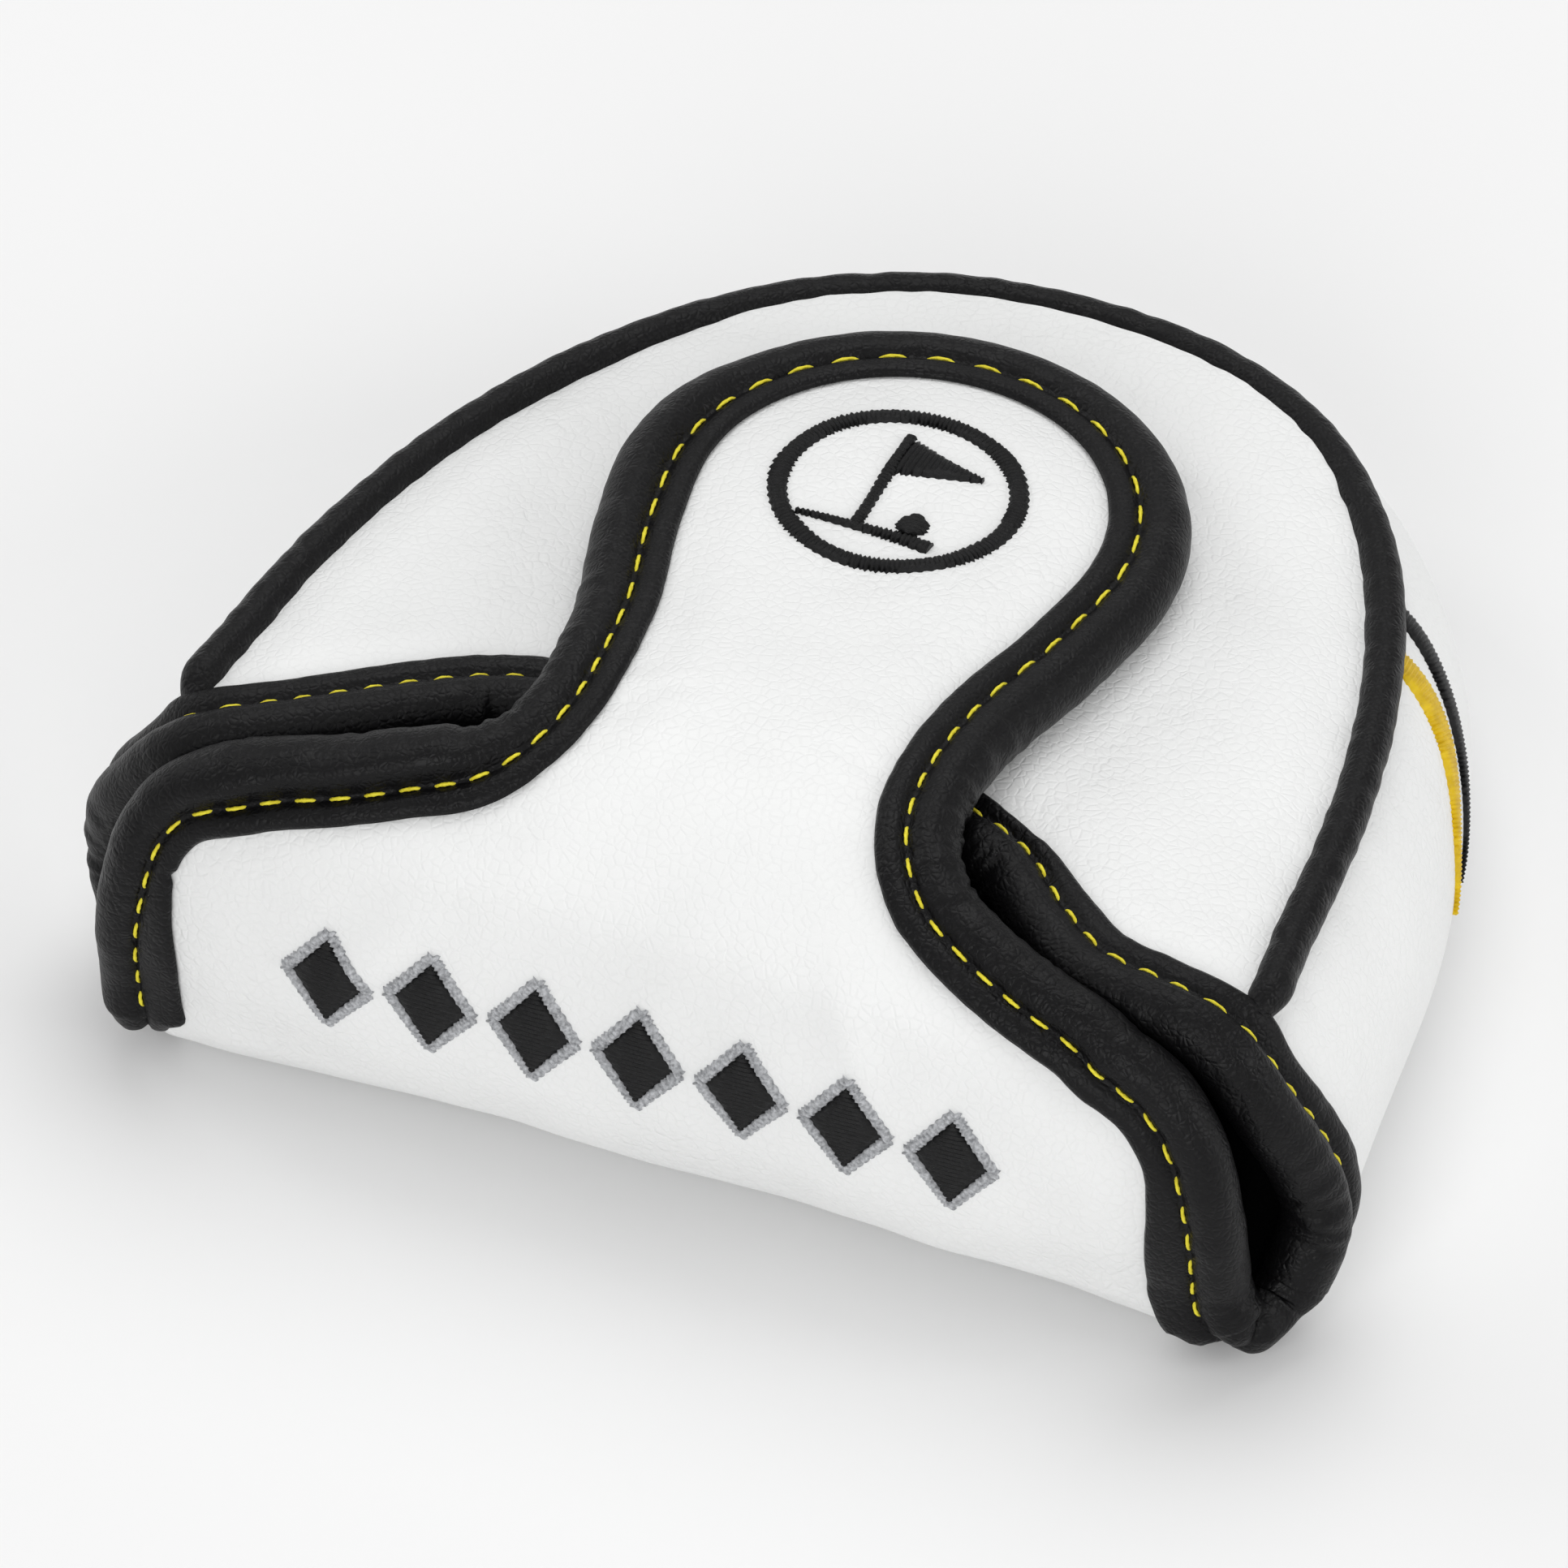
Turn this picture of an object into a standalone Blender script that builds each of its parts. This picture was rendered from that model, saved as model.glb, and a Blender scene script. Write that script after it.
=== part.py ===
"""Head cover for a mallet putter: a padded leather pouch closed by a wrap-over flap.

Units are metres and +Z is up. The cover lies on its flat bottom. Its closed end points to +Y,
the flap's front wall faces -Y, and X runs across the putter from heel to toe. The flap rises from
the bottom's front fold, bends over the mouth, narrows to a neck beside which the shaft leaves,
and ends in a round tongue that hook-and-loop pads hold on the top panel.

Lengths along Y below are measured from the bend of the front fold. The finished part is moved so
that its origin is the middle of its base.
"""

import math

import bmesh
import bpy
import numpy as np
from mathutils import Vector

# Layers of every wall, from the outside in
LEATHER = 0.0009
FOAM = 0.0014
LINING = 0.0009
PLY_GAP = 0.00025

# Pouch, seen from above: half of a slightly squared ellipse that leans to +X at the rear
HALF_WIDTH = 0.0580
REAR_LENGTH = 0.0985
ELLIPSE_Y = 0.0045
OUTLINE_POWER = 2.31
REAR_DRIFT = 0.0045
GUSSET_FRONT_Y = 0.0093
GUSSET_TOE_Y = 0.0040
TOE_HEIGHT_SHARE = 0.50

# Pouch, seen from the side
SEAM_FRONT_Z = 0.0380
SEAM_SLOPE = 0.11
CROWN = 0.0040
FOOT_SPREAD = 0.0035
BELLY = 0.0064
FOOT_CLEARANCE = 0.00025

# Mouth edge of the top panel, which is cut back in the middle
MOUTH_SIDE_Y = 0.0098
MOUTH_CUT_DEPTH = 0.0146
MOUTH_CUT_OUTER_X = HALF_WIDTH - 0.0030
MOUTH_CUT_INNER_X = 0.0200

# Path of the mouth's binding: places on the top panel as shares of its half width, then places on
# the side wall as shares of its height, and which of these places have no room for lips
MOUTH_TOP_SHARES = (0, 0.20, 0.36, 0.50, 0.62, 0.72, 0.82, 0.93)
MOUTH_SIDE_SHARES = (0.84, 0.66, 0.50, 0.36, 0.24, 0.14)
MOUTH_SHORT_LIPS = (6, 7, 8, 12, 13)
MOUTH_CORNER_ADVANCE = 0.0011
MOUTH_STATIONS = 36

# Trim
PIPING_RADIUS = 0.0020
PIPING_SKIN = 0.0007
PIPING_STATIONS = 36
PIPING_SIDES = 8
TRIM_GAP = 0.0003
BINDING_SKIN = 0.0009
BINDING_CORD_RADIUS = 0.0019
BINDING_LIP = 0.0022
BINDING_SLOT_GAP = 0.0004
BINDING_EDGE_GAP = 0.0005
BINDING_SHORT_LIP = -0.0010

# Bottom and the fold in front of it
FOLD_RADIUS = 0.0058
FOLD_ROWS = 4
BOTTOM_ROWS = 7
FLAP_FOLD_ROWS = 3
FLAP_ROWS = 13
FOLD_SPLIT = math.radians(45)

# Flap: front wall, brow, neck and tongue
WALL_BELLY = 0.0018
BROW_DROP = 0.0145
NECK_Y = 0.0200
BROW_LENGTH = NECK_Y + FOLD_RADIUS
NECK_RISE = 0.0007
NECK_RISE_LENGTH = 0.0240
SIDE_WRAP = 0.0020
WALL_HALF_WIDTH = HALF_WIDTH - 0.0020
SHOULDER_LENGTH = 0.0270
NECK_HALF_WIDTH = 0.0178
TONGUE_HALF_WIDTH = 0.0236
TONGUE_WIDEST_Y = 0.0585
TONGUE_END_LENGTH = 0.0252
NECK_FLARE = 0.0008
NECK_FLARE_SHARE = 0.28
TONGUE_TAPER = 0.0014
TONGUE_TAPER_SHARE = 0.70
WALL_STRAIGHT_SHARE = 0.60
CROWN_FROM_SHARE = 0.30
CROWN_TO_SHARE = 0.70
FLAP_TRIM_START = 0.0035
SPLIT_GAP = 0.0005
FLAP_STATIONS = 16
TONGUE_STATIONS = 32

# Shape of the brow, as shares of its length and drop, and of the shoulder's edge, as shares of the
# way out from the neck's edge to the wall's and of the way up from the shoulder to the neck
BROW_CURVE = (0.09, 0.64), (0.26, 0.37), (0.46, 0.18), (0.69, 0.05)
SHOULDER_CURVE = (0.92, -0.115), (0.75, 0.01), (0.47, 0.16), (0.31, 0.27), (0.16, 0.41), (0.05, 0.63)

# Hook-and-loop closure
PAD = 0.0008
PAD_HALF_WIDTH = 0.0110
PAD_HALF_LENGTH = 0.0140
PAD_CORNER = 0.16

# Columns and rows of the panels
TOP_GRID = (12, 10)
GUSSET_GRID = (26, 5)
BOTTOM_GRID = (12, FOLD_ROWS + BOTTOM_ROWS)
FLAP_GRID = (10, FLAP_FOLD_ROWS + FLAP_ROWS)
TONGUE_GRID = (8, 10)
PAD_GRID = (4, 5)

# Leather, thread and lining colours, as linear red, green and blue
WHITE = (0.80, 0.80, 0.79)
BLACK = (0.012, 0.012, 0.013)
LINING_BLACK = (0.010, 0.010, 0.011)
FOAM_GREY = (0.30, 0.30, 0.31)
CORD_WHITE = (0.70, 0.70, 0.68)
FABRIC_BLACK = (0.015, 0.015, 0.016)

STACK = LEATHER + FOAM + LINING + 2 * PLY_GAP
BINDING_OUTER = STACK / 2 + BINDING_SLOT_GAP + BINDING_SKIN
BINDING_CENTRE = BINDING_CORD_RADIUS + BINDING_EDGE_GAP
TONGUE_LIFT = STACK + 2 * PAD + 3 * PLY_GAP
FOLD_CENTRE_Z = FOLD_RADIUS
FOLD_Y = -FOLD_RADIUS * math.sin(FOLD_SPLIT)
FOLD_Z = FOLD_CENTRE_Z - FOLD_RADIUS * math.cos(FOLD_SPLIT)


def smooth_step(value):
    """0 below 0, 1 above 1 and an S-shaped rise between."""
    t = np.clip(value, 0.0, 1.0)
    return t * t * (3 - 2 * t)


def resampled(points, count):
    """That many points, evenly spaced along a polyline. Columns past the third go along."""
    points = np.asarray(points, float)
    steps = np.linalg.norm(np.diff(points[:, :3], axis=0), axis=1)
    along = np.concatenate([[0], np.cumsum(steps)])
    wanted = np.linspace(0, along[-1], count)
    return np.stack([np.interp(wanted, along, column) for column in points.T], axis=1)


def smooth_path(points, count, steps=24):
    """A smooth curve through the points, as evenly spaced points."""
    points = np.asarray(points, float)
    chords = np.diff(points, axis=0)
    spans = np.linalg.norm(chords[:, :3], axis=1)[:, None]
    slopes = chords / spans
    middle = (slopes[:-1] * spans[1:] + slopes[1:] * spans[:-1]) / (spans[1:] + spans[:-1])
    first, last = 1.5 * slopes[:1] - 0.5 * middle[:1], 1.5 * slopes[-1:] - 0.5 * middle[-1:]
    tangents = np.concatenate([first, middle, last])
    t = np.linspace(0, 1, steps, endpoint=False)[:, None]
    rise, leave, arrive = 3 * t**2 - 2 * t**3, t - 2 * t**2 + t**3, t**3 - t**2
    curve = [
        start + rise * (end - start) + span * (leave * out + arrive * back)
        for start, end, span, out, back in zip(points, points[1:], spans, tangents, tangents[1:])
    ]
    return resampled(np.concatenate([*curve, points[-1:]]), count)


# Surfaces of the walls: each gives points on the outer face

def plan_curve(count=361):
    """Outline of the top seam from the right mouth corner round the rear to the left one."""
    turn = np.linspace(math.pi / 2, -math.pi / 2, count)
    across, behind = np.sin(turn), np.clip(np.cos(turn), 0, 1)
    x = HALF_WIDTH * np.sign(across) * np.abs(across) ** (2 / OUTLINE_POWER) + REAR_DRIFT * behind**2
    y = ELLIPSE_Y + REAR_LENGTH * behind ** (2 / OUTLINE_POWER)
    arc = np.stack([x, y], axis=1)
    return resampled([(HALF_WIDTH, GUSSET_TOE_Y), *arc, (-HALF_WIDTH, GUSSET_TOE_Y)], count)


PLAN = plan_curve()
PLAN_SHARE = np.linspace(0, 1, len(PLAN))
PLAN_TANGENT = np.gradient(PLAN, axis=0)
PLAN_NORMAL = np.stack([PLAN_TANGENT[:, 1], -PLAN_TANGENT[:, 0]], axis=1)
PLAN_NORMAL /= np.linalg.norm(PLAN_NORMAL, axis=1)[:, None]
PLAN_LENGTH = np.linalg.norm(np.diff(PLAN, axis=0), axis=1).sum()


def plan_point(share, offset=0.0):
    """A point of the seam's outline, moved outward by an offset."""
    columns = [np.interp(share, PLAN_SHARE, c) for c in (*PLAN.T, *PLAN_NORMAL.T)]
    return np.stack([columns[0] + offset * columns[2], columns[1] + offset * columns[3]], axis=-1)


def seam_height(y):
    return SEAM_FRONT_Z - SEAM_SLOPE * (y - GUSSET_FRONT_Y)


def top_surface(x, y):
    behind = (np.maximum(y - ELLIPSE_Y, 0) / REAR_LENGTH) ** OUTLINE_POWER
    aside = np.abs((x - REAR_DRIFT * behind) / HALF_WIDTH) ** OUTLINE_POWER
    crown = CROWN * (1 - aside - behind)
    return np.stack([x, y, seam_height(y) + crown], axis=-1)


def gusset_surface(share, height):
    """The side wall: share runs round the pouch, height from the foot to the top seam."""
    swell = FOOT_SPREAD * (1 - height) + 4 * BELLY * height * (1 - height)
    seam = plan_point(share)
    place = plan_point(share, swell)
    top = seam_height(seam[..., 1]) - PIPING_RADIUS - TRIM_GAP
    z = FOOT_CLEARANCE + height * (top - FOOT_CLEARANCE)
    return np.concatenate([place, z[..., None]], axis=-1)


def gusset_front(height):
    """Share of the outline at which the gusset begins: its foot reaches further forward."""
    forward = smooth_step((TOE_HEIGHT_SHARE - height) / TOE_HEIGHT_SHARE)
    return (GUSSET_FRONT_Y - GUSSET_TOE_Y) * (1 - forward) / PLAN_LENGTH


def gusset_pattern(u, v):
    begin = gusset_front(v)
    return np.stack([begin + u * (1 - 2 * begin), v], axis=-1)


def bottom_surface(x, along):
    """The flat bottom, which turns up into the fold where along is below 0."""
    angle = np.maximum(-along, 0) / FOLD_RADIUS
    y = np.where(along > 0, along, -FOLD_RADIUS * np.sin(angle))
    return np.stack([x, y, FOLD_RADIUS * (1 - np.cos(angle))], axis=-1)


def tongue_surface(x, y):
    """The flap behind the neck, lying on the pads above the top panel."""
    rise = NECK_RISE * smooth_step((NECK_Y + NECK_RISE_LENGTH - y) / NECK_RISE_LENGTH)
    points = top_surface(x, y)
    points[..., 2] += TONGUE_LIFT + rise
    return points


def flap_profile():
    """Side view of the flap's outer face, from the fold up the wall and over the brow to the neck."""
    neck_z = float(tongue_surface(np.array(0.0), np.array(NECK_Y))[2])
    beyond = tongue_surface(np.array(0.0), np.array(NECK_Y + NECK_RISE_LENGTH / 3))
    bend = np.linspace(FOLD_SPLIT, math.pi / 2, 4)
    fold = [(-FOLD_RADIUS * math.sin(a), FOLD_CENTRE_Z - FOLD_RADIUS * math.cos(a)) for a in bend]
    brow_z = neck_z - BROW_DROP
    wall = [
        (-FOLD_RADIUS - WALL_BELLY, (FOLD_CENTRE_Z + brow_z) / 2),
        (-FOLD_RADIUS, brow_z),
        *((NECK_Y - BROW_LENGTH * (1 - back), neck_z - BROW_DROP * below) for back, below in BROW_CURVE),
    ]
    points = smooth_path([*fold, *wall, (NECK_Y, neck_z), tuple(beyond[1:])], 800)
    past_wall = points[:, 1] > brow_z
    return points[~((points[:, 0] > NECK_Y) & past_wall)]


PROFILE = flap_profile()
PROFILE_ALONG = np.concatenate([[0], np.cumsum(np.linalg.norm(np.diff(PROFILE, axis=0), axis=1))])
NECK_ALONG = float(PROFILE_ALONG[-1])


def flap_surface(x, along):
    """The flap before the neck: x across it, along from the fold up the wall and over the brow."""
    y = np.interp(along, PROFILE_ALONG, PROFILE[:, 0])
    z = np.interp(along, PROFILE_ALONG, PROFILE[:, 1])
    lifted = smooth_step((along / NECK_ALONG - CROWN_FROM_SHARE) / (CROWN_TO_SHARE - CROWN_FROM_SHARE))
    drop = CROWN * (np.minimum(np.abs(x), NECK_HALF_WIDTH) / HALF_WIDTH) ** OUTLINE_POWER * lifted
    upright = smooth_step(along / (2 * FOLD_RADIUS)) * (1 - smooth_step(along / NECK_ALONG * 3 - 2))
    back = SIDE_WRAP * (np.abs(x) / WALL_HALF_WIDTH) ** 3 * upright
    return np.stack([x, y + back, z - drop], axis=-1)


def with_normals(surface, s, t, depth=0.0):
    """Points that lie a depth under a surface's outer face, and the outward normals there."""
    step = 1e-5
    across = surface(s + step, t) - surface(s - step, t)
    along = surface(s, t + step) - surface(s, t - step)
    normal = np.cross(across, along)
    normal /= np.linalg.norm(normal, axis=-1, keepdims=True)
    return surface(s, t) - depth * normal, normal


# Flat patterns: each maps u and v, from 0 to 1, to the two coordinates of a surface

def coons(front, right, back, left):
    """A pattern between four edges. Front and back run left to right, the sides front to back."""
    edges = [np.asarray(e, float) for e in (front, right, back, left)]
    shares = [np.linspace(0, 1, len(e)) for e in edges]

    def at(index, value):
        return np.stack([np.interp(value, shares[index], c) for c in edges[index].T], axis=-1)

    def pattern(u, v):
        uu, vv = u[..., None], v[..., None]
        ruled = (1 - vv) * at(0, u) + vv * at(2, u) + (1 - uu) * at(3, v) + uu * at(1, v)
        near = (1 - uu) * edges[0][0] + uu * edges[0][-1]
        far = (1 - uu) * edges[2][0] + uu * edges[2][-1]
        return ruled - (1 - vv) * near - vv * far

    return pattern


def mirrored(points):
    return np.asarray(points) * (-1, 1)


def mouth_edge(x):
    """Y of the top panel's raw front edge."""
    reach = (MOUTH_CUT_OUTER_X - np.abs(x)) / (MOUTH_CUT_OUTER_X - MOUTH_CUT_INNER_X)
    return MOUTH_SIDE_Y + MOUTH_CUT_DEPTH * smooth_step(reach)


def round_the_rear(start, inset, corner_share=0.30):
    """Right side, back and left side of a panel that follows the seam's outline, after a start."""
    shares = np.linspace(0, 1, 241)
    outline = plan_point(shares, -inset)
    outline = outline[outline[:, 1] > start[-1][1] + TRIM_GAP]
    ring = [*start, *outline, *mirrored(start[::-1])]
    ring = resampled(ring, 401)
    corner = int(corner_share * 400)
    right, back, left = ring[: corner + 1], ring[corner: 401 - corner], ring[400 - corner:]
    return right, back[::-1], left[::-1]


def top_pattern(inset):
    corner_x = HALF_WIDTH - inset
    x = np.linspace(-corner_x, corner_x, 121)
    front = np.stack([x, mouth_edge(x)], axis=1)
    right, back, left = round_the_rear([tuple(front[-1])], inset)
    return coons(front, right, back, left)


def graded(first, first_rows, rest, rest_rows, per_row=20):
    """Two stretches of an edge, one after the other, each with its own number of rows."""
    ahead = resampled(first, first_rows * per_row + 1)
    return np.concatenate([ahead[:-1], resampled(rest, rest_rows * per_row + 1)])


def bottom_pattern():
    inner_foot = STACK + TRIM_GAP - FOOT_SPREAD
    corner = (HALF_WIDTH - inner_foot, 0.0)
    fold_end = (corner[0], -FOLD_RADIUS * FOLD_SPLIT + SPLIT_GAP)
    right, back, left = round_the_rear([corner], inner_foot)
    right = graded([fold_end, corner], FOLD_ROWS, right, BOTTOM_ROWS)
    left = graded(mirrored([fold_end, corner]), FOLD_ROWS, left, BOTTOM_ROWS)
    return coons([left[0], right[0]], right, back, left)


def flap_edge():
    """Raw right-hand edge of the flap's front, from the fold to the neck, as (x, along)."""
    shoulder = NECK_ALONG - SHOULDER_LENGTH
    overhang = WALL_HALF_WIDTH - NECK_HALF_WIDTH
    curve = [
        (NECK_HALF_WIDTH + out * overhang, shoulder + up * SHOULDER_LENGTH)
        for out, up in SHOULDER_CURVE
    ]
    last_x, last_along = curve[-1]
    points = [
        (WALL_HALF_WIDTH, SPLIT_GAP),
        (WALL_HALF_WIDTH, shoulder * WALL_STRAIGHT_SHARE),
        *curve,
        (NECK_HALF_WIDTH, NECK_ALONG),
        (last_x, 2 * NECK_ALONG - last_along),
    ]
    edge = smooth_path(points, 801)
    return resampled(edge[edge[:, 1] < NECK_ALONG - SPLIT_GAP], 401)


def tongue_edge():
    """Raw right-hand edge of the tongue, from the neck to the middle of its round end, as (x, y)."""
    length = TONGUE_WIDEST_Y - NECK_Y
    turn = np.linspace(0, math.pi / 2, 7)
    end = [
        (TONGUE_HALF_WIDTH * math.cos(a), TONGUE_WIDEST_Y + TONGUE_END_LENGTH * math.sin(a))
        for a in turn
    ]
    points = [
        (NECK_HALF_WIDTH + NECK_FLARE, NECK_Y - NECK_FLARE_SHARE * length),
        (NECK_HALF_WIDTH, NECK_Y),
        (NECK_HALF_WIDTH + NECK_FLARE, NECK_Y + NECK_FLARE_SHARE * length),
        (TONGUE_HALF_WIDTH - TONGUE_TAPER, NECK_Y + TONGUE_TAPER_SHARE * length),
        *end,
        mirrored(end[-2]),
    ]
    curve = smooth_path(points, 801)
    inside = (curve[:, 1] > NECK_Y + SPLIT_GAP) & (curve[:, 0] > 0)
    return resampled([*curve[inside], end[-1]], 401)


def flap_pattern():
    edge = flap_edge()
    folded = edge[:, 1] < FOLD_RADIUS * FOLD_SPLIT
    right = graded(edge[folded], FLAP_FOLD_ROWS, edge[~folded], FLAP_ROWS)
    left = mirrored(right)
    return coons([left[0], right[0]], right, [left[-1], right[-1]], left)


def tongue_pattern(corner_share=0.75):
    half = tongue_edge()
    corner = int(corner_share * (len(half) - 1))
    right, left = half[: corner + 1], mirrored(half[: corner + 1])
    back = [*mirrored(half[corner:]), *half[corner:][::-1]]
    return coons([left[0], right[0]], right, resampled(back, 201), left)


def pad_pattern(u, v):
    """A rounded rectangle on the middle of the tongue's round end."""
    a, b = 2 * u - 1, 2 * v - 1
    x = PAD_HALF_WIDTH * a * np.sqrt(1 - PAD_CORNER * b**2)
    y = TONGUE_WIDEST_Y + PAD_HALF_LENGTH * b * np.sqrt(1 - PAD_CORNER * a**2)
    return np.stack([x, y], axis=-1)


# Scene, materials and mesh makers

def clear_scene():
    for obj in list(bpy.data.objects):
        bpy.data.objects.remove(obj, do_unlink=True)


def material(name, colour, roughness):
    made = bpy.data.materials.new(name)
    made.use_nodes = True
    shader = made.node_tree.nodes["Principled BSDF"]
    shader.inputs["Base Color"].default_value = (*colour, 1.0)
    shader.inputs["Roughness"].default_value = roughness
    shader.inputs["Metallic"].default_value = 0.0
    return made


def pivot(name, collection, place, parent=None):
    """An empty that carries one body and stands on the axis that the body turns about."""
    empty = bpy.data.objects.new(name, None)
    collection.objects.link(empty)
    empty.parent = parent
    empty["place"] = place
    empty.location = Vector(place) - Vector(parent["place"] if parent else (0, 0, 0))
    return empty


def finished(name, data, look, carrier):
    data.materials.append(look)
    obj = bpy.data.objects.new(name, data)
    carrier.users_collection[0].objects.link(obj)
    obj.parent = carrier
    return obj


def grid_object(name, columns, rows, place, look, carrier, weld=False):
    """An open surface: a grid whose corners, as u and v from 0 to 1, are put where place says."""
    mesh = bmesh.new()
    bmesh.ops.create_grid(mesh, x_segments=columns, y_segments=rows, size=1.0)
    corners = np.array([v.co for v in mesh.verts])
    points = place((corners[:, 0] + 1) / 2, (corners[:, 1] + 1) / 2) - np.array(carrier["place"])
    for vert, point in zip(mesh.verts, points):
        vert.co = point
    if weld:
        bmesh.ops.remove_doubles(mesh, verts=mesh.verts, dist=1e-7)
    data = bpy.data.meshes.new(name)
    mesh.to_mesh(data)
    mesh.free()
    data.shade_smooth()
    data.set_sharp_from_angle(angle=math.radians(40))
    return finished(name, data, look, carrier)


def thicken(obj, thickness):
    shell = obj.modifiers.new("thickness", "SOLIDIFY")
    shell.thickness = thickness
    shell.offset = -1.0
    shell.use_even_offset = True
    return obj


def wall_sheet(name, surface, pattern, grid, depth, thickness, look, carrier, outward=1):
    """One layer of a wall. Depth is from the wall's outer face to the layer's own outer face."""

    def place(u, v):
        s, t = np.moveaxis(pattern(u if outward > 0 else 1 - u, v), -1, 0)
        points, normals = with_normals(surface, s, t)
        return points - outward * depth * normals

    return thicken(grid_object(name, *grid, place, look, carrier), thickness)


def layers(prefix, surface, patterns, grid, looks, carrier, outward=1):
    """Leather, foam and lining of one wall."""
    depths = (0.0, LEATHER + PLY_GAP, LEATHER + FOAM + 2 * PLY_GAP)
    plies = ("leather", LEATHER), ("foam", FOAM), ("lining", LINING)
    for (ply, thickness), depth, pattern in zip(plies, depths, patterns):
        name = f"{prefix}_{ply}"
        wall_sheet(name, surface, pattern, grid, depth, thickness, looks[ply], carrier, outward)


def frames_along(points, normals):
    """Normals square to a path, and the direction into the panel that it borders."""
    tangent = np.gradient(points, axis=0)
    tangent /= np.linalg.norm(tangent, axis=1)[:, None]
    normal = normals - tangent * (normals * tangent).sum(1)[:, None]
    normal /= np.linalg.norm(normal, axis=1)[:, None]
    return normal, np.cross(normal, tangent)


def binding_section(arc_steps=6):
    """U-shaped section of the binding as (toward the panel, outward), with lip ends marked by 1."""
    turn = np.linspace(3 * math.pi / 2, math.pi / 2, arc_steps + 1)
    arc = [
        (-BINDING_CENTRE + BINDING_OUTER * math.cos(a), BINDING_OUTER * math.sin(a), 0) for a in turn
    ]
    return np.array([(0, -BINDING_OUTER, 1), *arc, (0, BINDING_OUTER, 1)])


def binding(name, points, normal, inward, lips, look, carrier):
    """A leather strip folded round a panel's edge. Lips gives its reach over the panel."""
    section = binding_section()
    stations = len(points) - 1

    def place(u, v):
        ring = np.rint(u * stations).astype(int)
        corner = np.rint(v * (len(section) - 1)).astype(int)
        toward, out, is_lip = section[corner].T
        toward = np.where(is_lip > 0, lips[ring], toward)
        return points[ring] + inward[ring] * toward[:, None] + normal[ring] * out[:, None]

    return thicken(
        grid_object(name, stations, len(section) - 1, place, look, carrier), BINDING_SKIN
    )


def cord(name, points, radius, look, carrier):
    """A round filler cord along a polyline."""
    data = bpy.data.curves.new(name, "CURVE")
    data.dimensions = "3D"
    data.bevel_depth = radius
    data.bevel_resolution = 1
    data.use_fill_caps = True
    spline = data.splines.new("POLY")
    spline.points.add(len(points) - 1)
    for knot, point in zip(spline.points, points - np.array(carrier["place"])):
        knot.co = (*point, 1.0)
    return finished(name, data, look, carrier)


def bound_edge(prefix, suffix, points, normals, lips, stations, looks, carrier):
    """A binding and the cord inside its roll, along a finely divided edge."""
    normal, inward = frames_along(points, normals)
    picked = np.rint(np.linspace(0, len(points) - 1, stations + 1)).astype(int)
    points, normal, inward, lips = points[picked], normal[picked], inward[picked], lips[picked]
    binding(f"{prefix}_binding{suffix}", points, normal, inward, lips, looks["trim"], carrier)
    cord(
        f"{prefix}_binding_cord{suffix}", points - inward * BINDING_CENTRE, BINDING_CORD_RADIUS,
        looks["cord"], carrier,
    )


# The three bodies of the cover

def make_pouch(looks, carrier):
    top_inset = PIPING_RADIUS + TRIM_GAP
    inner_inset = STACK + 2 * TRIM_GAP
    inner = top_pattern(inner_inset)
    layers("top", top_surface, [top_pattern(top_inset), inner, inner], TOP_GRID, looks, carrier)
    layers("gusset", gusset_surface, [gusset_pattern] * 3, GUSSET_GRID, looks, carrier)
    layers("bottom", bottom_surface, [bottom_pattern()] * 3, BOTTOM_GRID, looks, carrier, outward=-1)
    make_piping(looks, carrier)
    make_mouth_binding(looks, carrier)
    lift = PLY_GAP + PAD
    wall_sheet("loop_pad", top_surface, pad_pattern, PAD_GRID, -lift, PAD, looks["fabric"], carrier)


def make_piping(looks, carrier):
    """Leather-covered cord in the seam between the top panel and the gusset."""
    ends = (GUSSET_FRONT_Y - GUSSET_TOE_Y + 3 * TRIM_GAP) / PLAN_LENGTH
    seam = plan_point(np.linspace(ends, 1 - ends, PIPING_STATIONS + 1))
    points = np.column_stack([seam, seam_height(seam[:, 1])])
    up = np.tile((0.0, 0.0, 1.0), (len(points), 1))
    normal, inward = frames_along(points, up)
    grid = (PIPING_STATIONS, PIPING_SIDES)

    def place(u, v):
        ring = np.rint(u * PIPING_STATIONS).astype(int)
        turn = 2 * math.pi * v
        out = np.cos(turn)[:, None] * normal[ring] + np.sin(turn)[:, None] * inward[ring]
        return points[ring] + PIPING_RADIUS * out

    skin = grid_object("piping_cover", *grid, place, looks["trim"], carrier, weld=True)
    thicken(skin, PIPING_SKIN)
    cord("piping_cord", points, PIPING_RADIUS - PIPING_SKIN - TRIM_GAP, looks["cord"], carrier)


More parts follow.
